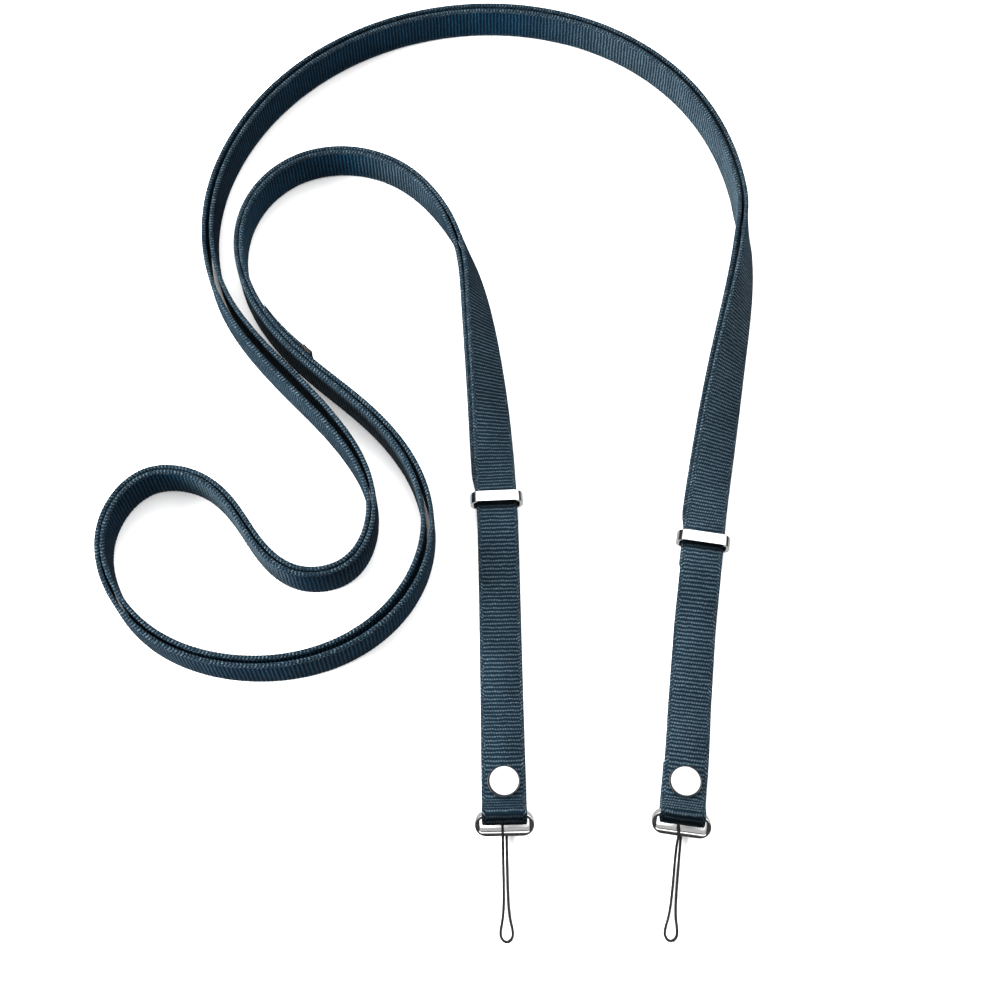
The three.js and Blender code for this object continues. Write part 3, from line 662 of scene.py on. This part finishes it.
def wear_group():
    """Faint polishing lines and handling marks, for metal and cord."""
    tree, given, out = new_group(
        "handling",
        [("Scale", "NodeSocketFloat", 300.0), ("Low", "NodeSocketFloat", 0.1),
         ("High", "NodeSocketFloat", 0.2)],
        [("Roughness", "NodeSocketFloat"), ("Height", "NodeSocketFloat")])
    place = add_node(tree, "ShaderNodeTexCoord")
    marks = add_node(tree, "ShaderNodeTexNoise",
                     {"Vector": place.outputs["Object"], "Scale": given.outputs["Scale"], "Detail": 4.0})
    rough = add_node(tree, "ShaderNodeMapRange",
                     {"Value": marks.outputs["Fac"], "From Min": 0.3, "From Max": 0.7,
                      "To Min": given.outputs["Low"], "To Max": given.outputs["High"]})
    tree.links.new(rough.outputs["Result"], out.inputs["Roughness"])
    tree.links.new(marks.outputs["Fac"], out.inputs["Height"])
    return tree


def new_material(name):
    """A material with its tree and shader, or only the material where it exists."""
    material = bpy.data.materials.get(name)
    if material:
        return material, None, None
    material = bpy.data.materials.new(name)
    material.use_nodes = True
    tree = material.node_tree
    tree.nodes.clear()
    shader = tree.nodes.new("ShaderNodeBsdfPrincipled")
    surface = add_node(tree, "ShaderNodeOutputMaterial")
    tree.links.new(shader.outputs[0], surface.inputs["Surface"])
    return material, tree, shader


def bumped(tree, shader, height, distance, strength=1.0):
    """Gives the shader a bump from a height."""
    bump = add_node(tree, "ShaderNodeBump", {"Height": height, "Distance": distance, "Strength": strength})
    tree.links.new(bump.outputs["Normal"], shader.inputs["Normal"])


def group_node(tree, name, build, **values):
    """A node of a shared group, which is built once."""
    node = tree.nodes.new("ShaderNodeGroup")
    node.node_tree = bpy.data.node_groups.get(name) or build()
    for key, value in values.items():
        node.inputs[key.replace("_", " ").title()].default_value = value
    return node


def grosgrain():
    """The ribbon's navy cloth."""
    material, tree, shader = new_material("grosgrain")
    if not tree:
        return material
    ribbon = bpy.context.scene.strap_ribbon
    weave = group_node(tree, "grosgrain weave", weave_group, rib_pitch=ribbon.rib_pitch / MM,
                       rib_half_width=RIBBON_WIDTH / 2 - ribbon.selvedge / MM,
                       groove_colour=ribbon.groove_colour, rib_colour=ribbon.rib_colour,
                       fleck_colour=ribbon.fleck_colour, dull_tint=ribbon.dull_tint)
    tree.links.new(weave.outputs["Colour"], shader.inputs["Base Color"])
    tree.links.new(weave.outputs["Roughness"], shader.inputs["Roughness"])
    bumped(tree, shader, weave.outputs["Height"], 0.00006)
    shader.inputs["Specular IOR Level"].default_value = 0.04
    return material


def nickel():
    """The polished metal of loops and snaps."""
    material, tree, shader = new_material("polished nickel")
    if not tree:
        return material
    metal = bpy.context.scene.strap_metal
    shader.inputs["Base Color"].default_value = metal.colour
    shader.inputs["Metallic"].default_value = 1.0
    marks = group_node(tree, "handling", wear_group, scale=900.0, low=metal.roughness * 0.7,
                       high=metal.roughness * 1.5)
    tree.links.new(marks.outputs["Roughness"], shader.inputs["Roughness"])
    bumped(tree, shader, marks.outputs["Height"], 0.00002, 0.3)
    return material


def black_cord():
    """The tethers' plaited cord."""
    material, tree, shader = new_material("black cord")
    if not tree:
        return material
    place = add_node(tree, "ShaderNodeAttribute", attribute_name="weave")
    axes = add_node(tree, "ShaderNodeSeparateXYZ", {0: place.outputs["Vector"]})
    turn = maths(tree, "MULTIPLY", axes.outputs[1], 4 * math.pi)
    left = maths(tree, "SINE", maths(tree, "MULTIPLY_ADD", axes.outputs[0], 7.0, turn))
    right = maths(tree, "SINE", maths(tree, "MULTIPLY_ADD", axes.outputs[0], -7.0, turn))
    plait = ramp(tree, maths(tree, "MAXIMUM", left, right), 0.0, 1.0)
    colour = mixed(tree, plait, (0.0015, 0.0015, 0.002, 1), bpy.context.scene.strap_cord.colour)
    tree.links.new(colour, shader.inputs["Base Color"])
    shader.inputs["Specular IOR Level"].default_value = 0.2
    marks = group_node(tree, "handling", wear_group, scale=1500.0, low=0.35, high=0.5)
    tree.links.new(marks.outputs["Roughness"], shader.inputs["Roughness"])
    bumped(tree, shader, plait, 0.00004)
    return material


def sewing_thread():
    """The tack's dark thread with pale fibres."""
    material, tree, shader = new_material("sewing thread")
    if not tree:
        return material
    place = add_node(tree, "ShaderNodeTexCoord")
    fibres = add_node(tree, "ShaderNodeTexNoise",
                      {"Vector": place.outputs["Object"], "Scale": 2600.0, "Detail": 3.0})
    pale = ramp(tree, fibres.outputs["Fac"], 0.52, 0.7)
    colour = mixed(tree, pale, (0.003, 0.003, 0.004, 1), (0.1, 0.085, 0.075, 1))
    tree.links.new(colour, shader.inputs["Base Color"])
    marks = group_node(tree, "handling", wear_group, scale=2000.0, low=0.6, high=0.9)
    tree.links.new(marks.outputs["Roughness"], shader.inputs["Roughness"])
    bumped(tree, shader, fibres.outputs["Fac"], 0.0001)
    return material


def pale_floor():
    """The floor's nearly white surface."""
    material, tree, shader = new_material("pale floor")
    if not tree:
        return material
    stage = bpy.context.scene.strap_stage
    place = add_node(tree, "ShaderNodeTexCoord")
    mottle = add_node(tree, "ShaderNodeTexNoise", {"Vector": place.outputs["Object"], "Scale": 3.0})
    mottling = ramp(tree, mottle.outputs["Fac"], 0.3, 0.7)
    colour = mixed(tree, mottling, stage.floor_colour, (0.94, 0.94, 0.94, 1))
    tree.links.new(colour, shader.inputs["Base Color"])
    shader.inputs["Roughness"].default_value = 0.9
    shader.inputs["Specular IOR Level"].default_value = 0.0
    return material


# Ribbon

def rib_tile(name):
    """One rib of the ribbon with its braided edges, a millimetre piece that repeats along the run."""
    ribbon = bpy.context.scene.strap_ribbon
    pitch, depth = ribbon.rib_pitch / MM, ribbon.rib_depth / MM
    tile = start_piece(name, bpy.ops.mesh.primitive_cube_add, size=1, location=(pitch / 2, 0, 0),
                       scale=(pitch, RIBBON_WIDTH, RIBBON_THICKNESS))
    edit(tile)
    select(tile, "faces", lambda face: abs(face.normal.x) > 0.9)
    bpy.ops.mesh.delete(type="ONLY_FACE")
    cut_across([pitch * 0.3, pitch * 0.7], (1, 0, 0))
    half = RIBBON_WIDTH / 2
    rib_end = half - ribbon.selvedge / MM
    columns = [rib_end, rib_end + 0.25, rib_end + 0.7, half - 0.3]
    cut_across([side * column for column in columns for side in (-1, 1)], (0, 1, 0))
    cut_across([0], (0, 0, 1))
    done_editing()
    for vertex in tile.data.vertices:
        share = vertex.co.x / pitch
        column = abs(vertex.co.y)
        rib = 0.5 - 0.5 * math.cos(2 * math.pi * share)
        if abs(vertex.co.z) < 1e-4:
            continue
        side = math.copysign(1, vertex.co.z)
        if column < rib_end + 0.01:
            sink = depth * (1 - min(1, rib * 1.45))
        elif column < rib_end + 0.3:
            sink = depth * 0.9
        elif column < rib_end + 0.8:
            sink = depth * (0.3 - 0.3 * math.cos(2 * math.pi * (share - 0.2)))
        elif column < half - 0.01:
            sink = depth * (0.55 - 0.4 * math.cos(2 * math.pi * (share - 0.6)))
        else:
            sink = HALF_PLY * 0.5
            vertex.co.y -= math.copysign(0.1, vertex.co.y)
        vertex.co.z -= side * sink
    return tile


def straight_ribbon(name, length):
    """A straight length of ribbon along X, from one rib repeated, closed at both ends."""
    pitch = bpy.context.scene.strap_ribbon.rib_pitch / MM
    count = max(2, round(length / pitch))
    strip = rib_tile(name)
    finish_with(strip, "ARRAY", fit_type="FIXED_COUNT", count=count, use_relative_offset=False,
                use_constant_offset=True, constant_offset_displace=(pitch, 0, 0),
                use_merge_vertices=True, merge_threshold=0.002)
    edit(strip)
    bpy.ops.mesh.select_mode(type="EDGE")
    bpy.ops.mesh.select_non_manifold(extend=False)
    bpy.ops.mesh.fill_holes(sides=0)
    bpy.ops.mesh.select_all(action="SELECT")
    bpy.ops.mesh.normals_make_consistent(inside=False)
    done_editing()
    return strip, count * pitch


def unit_rows(vectors):
    """Each row as a vector of length one."""
    return vectors / np.linalg.norm(vectors, axis=1)[:, None]


# Painted light: faces of the ribbon that turn upwards or to the left, in the strap's own frame, keep the
# full colour, and the others are dulled. It doesn't follow the lights, so it stays put if they move.
PAINTED_LIGHT_TOWARDS = np.array([(0, 0, 1), (-0.9, 0, 0.43)])


def lay_along(strip, length, stations):
    """Lays a straight strip through stations, and keeps each point's place on the strip for the weave, with
    its painted shade and painted light.
    """
    places = np.array([station.place for station in stations])
    acrosses = np.array([station.across for station in stations])
    runs = np.concatenate([[0], np.cumsum(np.linalg.norm(np.diff(places, axis=0), axis=1))])
    ahead = unit_rows(np.gradient(places, runs, axis=0))
    outwards = unit_rows(np.cross(ahead, acrosses))
    flat = np.empty(len(strip.data.vertices) * 3)
    strip.data.vertices.foreach_get("co", flat)
    flat = flat.reshape(-1, 3)
    at = flat[:, 0] * runs[-1] / length

    def along(table):
        return np.column_stack([np.interp(at, runs, table[:, axis]) for axis in range(3)])

    facing = unit_rows(along(outwards))
    laid = (along(places) + unit_rows(along(acrosses)) * flat[:, 1:2] + facing * flat[:, 2:3]) * MM
    strip.data.vertices.foreach_set("co", laid.ravel())
    weave = strip.data.attributes.new("weave", "FLOAT_VECTOR", "POINT")
    weave.data.foreach_set("vector", flat.astype(np.float32).ravel())
    # Painted shade, from the stations, for the weave's colour
    fold = strip.data.attributes.new("fold", "FLOAT", "POINT")
    painted_shades = np.interp(at, runs, [station.fold for station in stations])
    fold.data.foreach_set("value", painted_shades.astype(np.float32))
    # Painted light: how far each face turns towards the up or the left direction, whichever is nearer
    shine = strip.data.attributes.new("shine", "FLOAT", "POINT")
    turned = (facing @ PAINTED_LIGHT_TOWARDS.T * np.sign(flat[:, 2:3])).max(axis=1)
    shine.data.foreach_set("value", np.clip(turned, 0, 1).astype(np.float32))
    strip.data.update()
    smooth(strip, 50)


def run_length(stations):
    """The length of the line through the stations."""
    return sum((b.place - a.place).length for a, b in zip(stations, stations[1:]))


def ribbon_piece(name, node, stations, start_share=1.0, end_share=1.0):
    """A length of ribbon laid through stations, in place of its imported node. Either end may be thinner."""
    strip, length = straight_ribbon(name, run_length(stations))
    for vertex in strip.data.vertices:
        share = start_share + (end_share - start_share) * vertex.co.x / length
        vertex.co.z = (vertex.co.z + HALF_PLY) * share - HALF_PLY
    lay_along(strip, length, stations)
    settle(strip, grosgrain(), "ribbon", node)
    return strip


# Settings

class StrapRibbonSettings(bpy.types.PropertyGroup):
    """The ribbon's weave and colours"""

    rib_pitch: bpy.props.FloatProperty(
        name="Rib Pitch", description="Distance from rib to rib along the ribbon",
        default=1.5 * MM, min=0.8 * MM, max=4 * MM, precision=5, unit="LENGTH")
    rib_depth: bpy.props.FloatProperty(
        name="Rib Depth", description="Depth of the groove between two ribs",
        default=0.17 * MM, min=0.0, max=0.4 * MM, precision=5, unit="LENGTH")
    selvedge: bpy.props.FloatProperty(
        name="Selvedge", description="Width of each braided edge",
        default=1.3 * MM, min=0.8 * MM, max=3 * MM, precision=5, unit="LENGTH")
    groove_colour: bpy.props.FloatVectorProperty(
        name="Groove Colour", description="Colour between the ribs",
        default=(0.0028, 0.008, 0.0135, 1), size=4, min=0, max=1, subtype="COLOR")
    rib_colour: bpy.props.FloatVectorProperty(
        name="Rib Colour", description="Colour of the ribs",
        default=(0.035, 0.0535, 0.067, 1), size=4, min=0, max=1, subtype="COLOR")
    fleck_colour: bpy.props.FloatVectorProperty(
        name="Fleck Colour", description="Colour of the yarns that catch the light",
        default=(0.1, 0.127, 0.14, 1), size=4, min=0, max=1, subtype="COLOR")
    # Painted shade: the colours on faces that turn away from the painted light are multiplied by this
    dull_tint: bpy.props.FloatVectorProperty(
        name="Dull Tint", description="What is left of the colours on faces painted dull",
        default=(0.15, 0.55, 0.8, 1), size=4, min=0, max=1, subtype="COLOR")


class StrapMetalSettings(bpy.types.PropertyGroup):
    """The finish of sliders, rings and snaps"""

    colour: bpy.props.FloatVectorProperty(
        name="Colour", description="Colour of the polished nickel",
        default=(0.8, 0.795, 0.79, 1), size=4, min=0, max=1, subtype="COLOR")
    roughness: bpy.props.FloatProperty(
        name="Roughness", description="How far the polish blurs what it reflects",
        default=0.12, min=0.0, max=1.0, subtype="FACTOR")


class StrapCordSettings(bpy.types.PropertyGroup):
    """The tethers"""

    diameter: bpy.props.FloatProperty(
        name="Diameter", description="Thickness of the cord",
        default=CORD_DIAMETER * MM, min=0.4 * MM, max=2 * MM, precision=5, unit="LENGTH")
    colour: bpy.props.FloatVectorProperty(
        name="Colour", description="Colour of the cord's strands",
        default=(0.006, 0.006, 0.007, 1), size=4, min=0, max=1, subtype="COLOR")


class StrapStageSettings(bpy.types.PropertyGroup):
    """Camera, floor and light"""

    camera_height: bpy.props.FloatProperty(
        name="Camera Height", description="Height of the camera over the floor",
        default=0.467, min=0.1, max=3, unit="LENGTH")
    camera_back: bpy.props.FloatProperty(
        name="Camera Distance", description="How far before the point that it looks at the camera stands",
        default=0.238, min=0.0, max=3, unit="LENGTH")
    camera_pitch: bpy.props.FloatProperty(
        name="Camera Pitch", description="How far below the horizon the camera looks",
        default=math.radians(63), min=0, max=math.pi / 2, subtype="ANGLE")
    floor_colour: bpy.props.FloatVectorProperty(
        name="Floor Colour", description="Colour of the floor",
        default=(0.96, 0.96, 0.96, 1), size=4, min=0, max=1, subtype="COLOR")
    light: bpy.props.FloatProperty(
        name="Light", description="Power of the soft light from the back",
        default=18.0, min=0.0, max=200.0, unit="POWER")
    side_light: bpy.props.FloatProperty(
        name="Side Light", description="Power of the soft light from the left",
        default=72.0, min=0.0, max=200.0, unit="POWER")
    sky: bpy.props.FloatProperty(
        name="Sky", description="Brightness of the white tent overhead",
        default=2.8, min=0.0, max=10.0)
    horizon: bpy.props.FloatProperty(
        name="Horizon", description="Brightness of the dark studio below the tent",
        default=0.04, min=0.0, max=10.0)
    card: bpy.props.FloatProperty(
        name="Card", description="Brightness of the grey card that the metal shows in place of the floor",
        default=0.5, min=0.0, max=10.0)


# Operators

def soft_light(name, place, target, size, power):
    """A rectangular light that the metal doesn't reflect."""
    data = bpy.data.lights.new(name, "AREA")
    data.shape = "RECTANGLE"
    data.size, data.size_y = size
    data.energy = power
    light = bpy.data.objects.new(name, data)
    light.location = place
    light.visible_glossy = False
    light.rotation_euler = (Vector(target) - Vector(place)).to_track_quat("-Z", "Y").to_euler()
    bpy.context.scene.collection.objects.link(light)


class STRAP_OT_stage(bpy.types.Operator):
    """Set up the camera, the pale floor and the soft light"""

    bl_idname = "strap.stage"
    bl_label = "Camera, Floor and Light"

    def execute(self, context):
        stage = context.scene.strap_stage
        aim = Vector(CAMERA_AIM) * MM
        camera_data = bpy.data.cameras.new("camera")
        camera_data.lens = CAMERA_LENS
        camera_data.sensor_width = 36
        camera_data.clip_start = 0.01
        camera_data.clip_end = 20
        camera = bpy.data.objects.new("camera", camera_data)
        camera.location = aim + Vector((0, -stage.camera_back, stage.camera_height))
        camera.rotation_euler = (math.pi / 2 - stage.camera_pitch, 0, 0)
        context.scene.collection.objects.link(camera)
        context.scene.camera = camera
        context.scene.view_settings.view_transform = "Standard"

        floor = start_piece("floor", bpy.ops.mesh.primitive_plane_add, size=8, location=(0, 0, -0.0002))
        floor.data.materials.append(pale_floor())
        floor.visible_glossy = False

        soft_light("back", (-0.25, 0.85, 0.95), (0, 0, 0), (0.9, 0.7), stage.light)
        soft_light("left", (-1.1, -0.25, 0.36), (0, 0, 0), (0.7, 0.5), stage.side_light)

        world = bpy.data.worlds.new("studio")
        world.use_nodes = True
        tree = world.node_tree
        tree.nodes.clear()
        place = add_node(tree, "ShaderNodeTexCoord")
        towards = add_node(tree, "ShaderNodeVectorMath",
                           {0: place.outputs["Generated"], 1: (0.15, 0.25, 0.96)}, operation="DOT_PRODUCT")
        height = ramp(tree, towards.outputs["Value"], 0.45, 0.75, stage.horizon, stage.sky)
        down = add_node(tree, "ShaderNodeVectorMath", {0: place.outputs["Generated"], 1: (0, 0, -1)},
                        operation="DOT_PRODUCT")
        card = ramp(tree, down.outputs["Value"], 0.05, 0.4, 0.0, stage.card)
        # The camera sees a white background, which lights nothing
        seen = add_node(tree, "ShaderNodeLightPath").outputs["Is Camera Ray"]
        strength = maths(tree, "MAXIMUM", maths(tree, "ADD", height, card), seen)
        light = add_node(tree, "ShaderNodeBackground", {"Color": (1, 1, 1, 1), "Strength": strength})
        output = add_node(tree, "ShaderNodeOutputWorld", {"Surface": light.outputs[0]})
        output.is_active_output = True
        context.scene.world = world
        return {"FINISHED"}


class STRAP_OT_tethers(bpy.types.Operator):
    """Lay the two thin cord tethers that loop round the rings"""

    bl_idname = "strap.tethers"
    bl_label = "Tethers"

    def execute(self, context):
        diameter = context.scene.strap_cord.diameter
        chords = [0.0]
        for before, after in zip(TETHER_ROUTE, TETHER_ROUTE[1:]):
            chords.append(chords[-1] + (Vector(after) - Vector(before)).length)
        axes = [springy(chords, [point[axis] for point in TETHER_ROUTE]) for axis in range(3)]
        count = 220
        for end in ("left", "right"):
            matrix = end_matrix(end, 0)
            points = [matrix @ Vector([axis(chords[-1] * i / count) for axis in axes])
                      for i in range(count + 1)]
            curve = bpy.data.curves.new(f"cord_{end}", "CURVE")
            curve.dimensions = "3D"
            curve.bevel_depth = diameter / 2
            curve.bevel_resolution = 4
            curve.use_fill_caps = True
            spline = curve.splines.new("POLY")
            spline.points.add(count)
            for target, point in zip(spline.points, points):
                target.co = (*point, 1)
            cord = bpy.data.objects.new(f"cord_{end}", curve)
            context.scene.collection.objects.link(cord)
            bpy.ops.object.select_all(action="DESELECT")
            context.view_layer.objects.active = cord
            cord.select_set(True)
            bpy.ops.object.convert(target="MESH")
            cord = context.object
            cord.name = f"cord_{end}"
            self.mark_plait(cord, points)
            smooth(cord, 60)
            settle(cord, black_cord(), "cord", f"tether_{end}")
        return {"FINISHED"}

    def mark_plait(self, cord, points):
        """Each point's run along the cord and its turn round it, for the plait."""
        line = np.array([tuple(point) for point in points])
        runs = np.concatenate([[0], np.cumsum(np.linalg.norm(np.diff(line, axis=0), axis=1))])
        values = []
        for vertex in cord.data.vertices:
            place = np.array(vertex.co)
            nearest = int(np.argmin(((line - place) ** 2).sum(axis=1)))
            ahead = line[min(nearest + 1, len(line) - 1)] - line[max(nearest - 1, 0)]
            aside = np.cross(ahead, (0, 0, 1))
            if np.linalg.norm(aside) < 1e-9:
                aside = np.array((1.0, 0, 0))
            aside /= np.linalg.norm(aside)
            upward = np.cross(aside, ahead)
            upward /= np.linalg.norm(upward)
            out = place - line[nearest]
            turn = math.atan2(float(out @ upward), float(out @ aside)) / (2 * math.pi) + 0.5
            values.extend((runs[nearest] / MM, turn, 0.0))
        weave = cord.data.attributes.new("weave", "FLOAT_VECTOR", "POINT")
        weave.data.foreach_set("vector", values)


class STRAP_OT_ribbons(bpy.types.Operator):
    """Weave the two plies of ribbon and lay them through the sliders and rings"""

    bl_idname = "strap.ribbons"
    bl_label = "Ribbons"

    def execute(self, context):
        ribbon_piece("ply_a", "ribbon_a", ply_stations(-1))
        ribbon_piece("ply_b", "ribbon_b", ply_stations(1))
        return {"FINISHED"}


class STRAP_OT_seam(bpy.types.Operator):
    """Lap the ribbon's join and tack its cut end with thread"""

    bl_idname = "strap.seam"
    bl_label = "Seam"

    def execute(self, context):
        seam_run = SEAM_AT * RUN_END
        lap = beside_ply(seam_run, seam_run + SEAM_LAP_LENGTH, RIBBON_THICKNESS + CLEARANCE, 20)
        ribbon_piece("lap", "seam_lap", lap, start_share=0.75, end_share=0.08)
        tack_start = seam_run - CLEARANCE - SEAM_TACK_LENGTH
        tack_out = HALF_PLY + CLEARANCE + SEAM_TACK_THICKNESS / 2
        stations = beside_ply(tack_start, seam_run - CLEARANCE, tack_out, 6)
        tack = self.thread_bundle()
        lay_along(tack, SEAM_TACK_LENGTH, stations)
        settle(tack, sewing_thread(), "thread", "seam_tack")
        return {"FINISHED"}

    def thread_bundle(self):
        """Short lengths of thread side by side, a little uneven, from one edge to the other."""
        chance = random.Random(7)
        thread = start_piece("tack", bpy.ops.mesh.primitive_cylinder_add, vertices=10, radius=THREAD_RADIUS,
                             depth=SEAM_TACK_LENGTH, rotation=(0, math.pi / 2, 0),
                             location=(SEAM_TACK_LENGTH / 2, 0, 0))
        edit(thread)
        cut_across([SEAM_TACK_LENGTH * share for share in (0.25, 0.5, 0.75)], (1, 0, 0))
        select(thread, "faces", lambda face: abs(face.normal.x) > 0.9)
        bpy.ops.mesh.bevel(offset=0.2, segments=2, affect="EDGES")
        done_editing()
        width = RIBBON_WIDTH - THREADS_SHORT_OF_WIDTH
        bundle = []
        for i in range(THREAD_COUNT):
            across = (i + 0.5) / THREAD_COUNT * width - width / 2
            strand = copy_of(thread, f"strand_{i}")
            for vertex in strand.data.vertices:
                vertex.co.x += chance.uniform(-0.3, 0.3)
                vertex.co.z = vertex.co.z * 1.9 + chance.uniform(-0.12, 0.12)
                vertex.co.y += across + chance.uniform(-0.06, 0.06)
            bundle.append(strand)
        bpy.data.objects.remove(thread)
        bpy.ops.object.select_all(action="DESELECT")
        for strand in bundle:
            strand.select_set(True)
        bpy.context.view_layer.objects.active = bundle[0]
        bpy.ops.object.join()
        tack = bpy.context.object
        tack.name = "tack"
        return tack


class STRAP_OT_loops(bpy.types.Operator):
    """Form the flat metal loops and set them as the two sliders and the two rings"""

    bl_idname = "strap.loops"
    bl_label = "Sliders and Rings"

    def execute(self, context):
        loop = self.flat_loop()
        for end, slider_from_ring in SLIDER_FROM_RING.items():
            slider = copy_of(loop, f"slider_loop_{end}")
            lift = Matrix.Translation((0, 0, SLIDER_BOTTOM + LOOP_HEIGHT / 2))
            slider.data.transform(end_matrix(end, slider_from_ring) @ lift)
            settle(slider, nickel(), "nickel", f"slider_{end}")
            ring = copy_of(loop, f"ring_loop_{end}")
            lift = Matrix.Translation((0, 0, RING_HEIGHT))
            tilt = Matrix.Rotation(RING_TILT - math.pi / 2, 4, "X")
            ring.data.transform(end_matrix(end, 0) @ lift @ tilt)
            settle(ring, nickel(), "nickel", f"ring_{end}")
        bpy.data.objects.remove(loop)
        return {"FINISHED"}

    def rounded_bar(self, name, width, height, length, radius, segments):
        """A bar along Y with rounded long edges."""
        bar = start_piece(name, bpy.ops.mesh.primitive_cube_add, size=1, scale=(width, length, height))
        edit(bar)
        select(bar, "edges", lambda edge: abs((edge.verts[0].co - edge.verts[1].co).y) > 0.1)
        bpy.ops.mesh.bevel(offset=radius, segments=segments, affect="EDGES")
        done_editing()
        return bar

    def flat_loop(self):
        """The loop about the origin, in millimetres, with its opening along Y."""
        loop = self.rounded_bar("loop", LOOP_WIDTH, LOOP_HEIGHT, LOOP_BAND, LOOP_HEIGHT / 2 - 0.005, 14)
        finish_with(loop, "BEVEL", width=LOOP_EDGE_ROUND, segments=8, limit_method="ANGLE",
                    angle_limit=math.radians(60))
        opening = self.rounded_bar("opening", LOOP_WIDTH - 2 * LOOP_WALL, OPENING_HEIGHT, 2 * LOOP_BAND,
                                   OPENING_CORNER, 6)
        finish_with(loop, "BOOLEAN", operation="DIFFERENCE", object=opening, solver="EXACT")
        bpy.data.objects.remove(opening)
        finish_with(loop, "BEVEL", width=OPENING_EDGE_ROUND, segments=4, limit_method="ANGLE",
                    angle_limit=math.radians(60))
        smooth(loop, 35)
        return loop


class STRAP_OT_snaps(bpy.types.Operator):
    """Form the domed snap caps and finish the snap backs"""

    bl_idname = "strap.snaps"
    bl_label = "Snaps"

    def execute(self, context):
        cap = self.domed_cap()
        for end in SLIDER_FROM_RING:
            piece = copy_of(cap, f"cap_{end}")
            piece.data.transform(end_matrix(end, SNAP_FROM_RING))
            settle(piece, nickel(), "nickel", f"snap_cap_{end}")
            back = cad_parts[f"snap_back_{end}"]
            back.data.materials.clear()
            back.data.materials.append(nickel())
        bpy.data.objects.remove(cap)
        return {"FINISHED"}

    def domed_cap(self):
        """The cap with its shank, in millimetres, over the foot of the snap."""
        radius = CAP_DIAMETER / 2
        rim_top = CAP_BOTTOM + CAP_RIM
        cap = start_piece("cap", bpy.ops.mesh.primitive_cylinder_add, vertices=96, radius=radius,
                          depth=CAP_RIM, location=(0, 0, CAP_BOTTOM + CAP_RIM / 2))
        edit(cap)
        select(cap, "faces", lambda face: face.normal.z > 0.9)
        steps = 10
        for i in range(steps):
            angle, following = i / steps * math.pi / 2, (i + 1) / steps * math.pi / 2
            inwards = radius * (math.cos(angle) - math.cos(following))
            if i == steps - 1:
                inwards -= 0.25
            bpy.ops.mesh.inset(thickness=inwards, use_even_offset=False)
            rise = (CAP_RISE - CAP_RIM) * (math.sin(following) - math.sin(angle))
            bpy.ops.transform.translate(value=(0, 0, rise))
        select(cap, "faces", lambda face: face.normal.z < -0.9 and face.calc_center_median().z < rim_top)
        bpy.ops.mesh.inset(thickness=radius - SHANK_DIAMETER / 2, use_even_offset=False)
        foot = DRUM_BOTTOM + DRUM_HEIGHT + CLEARANCE
        bpy.ops.mesh.extrude_region_move(TRANSFORM_OT_translate={"value": (0, 0, foot - CAP_BOTTOM)})
        select(cap, "edges", lambda edge: all(
            abs(v.co.z - CAP_BOTTOM) < 1e-3 and abs(v.co.xy.length - radius) < 1e-2 for v in edge.verts))
        bpy.ops.mesh.bevel(offset=0.15, segments=3, affect="EDGES")
        done_editing()
        smooth(cap, 40)
        return cap


class STRAP_PT_panel(bpy.types.Panel):
    """The strap's pieces and sizes"""

    bl_idname = "STRAP_PT_panel"
    bl_label = "Phone Strap"
    bl_space_type = "VIEW_3D"
    bl_region_type = "UI"
    bl_category = "Strap"

    def draw(self, context):
        layout = self.layout
        for operator in OPERATORS:
            layout.operator(operator.bl_idname)
        for settings in (context.scene.strap_ribbon, context.scene.strap_metal,
                         context.scene.strap_cord, context.scene.strap_stage):
            box = layout.box()
            for name in settings.__annotations__:
                box.prop(settings, name)


SETTINGS = {
    "strap_ribbon": StrapRibbonSettings,
    "strap_metal": StrapMetalSettings,
    "strap_cord": StrapCordSettings,
    "strap_stage": StrapStageSettings,
}
OPERATORS = [STRAP_OT_stage, STRAP_OT_tethers, STRAP_OT_ribbons, STRAP_OT_seam, STRAP_OT_loops,
             STRAP_OT_snaps]


def register():
    for settings in SETTINGS.values():
        bpy.utils.register_class(settings)
    for name, settings in SETTINGS.items():
        setattr(bpy.types.Scene, name, bpy.props.PointerProperty(type=settings))
    for operator in OPERATORS:
        bpy.utils.register_class(operator)
    bpy.utils.register_class(STRAP_PT_panel)


def unregister():
    bpy.utils.unregister_class(STRAP_PT_panel)
    for operator in reversed(OPERATORS):
        bpy.utils.unregister_class(operator)
    for name, settings in reversed(SETTINGS.items()):
        delattr(bpy.types.Scene, name)
        bpy.utils.unregister_class(settings)


def main():
    """Builds every piece."""
    register()
    bpy.ops.strap.stage()
    bpy.ops.strap.tethers()
    bpy.ops.strap.ribbons()
    bpy.ops.strap.seam()
    bpy.ops.strap.loops()
    bpy.ops.strap.snaps()


if __name__ == "__main__":
    main()
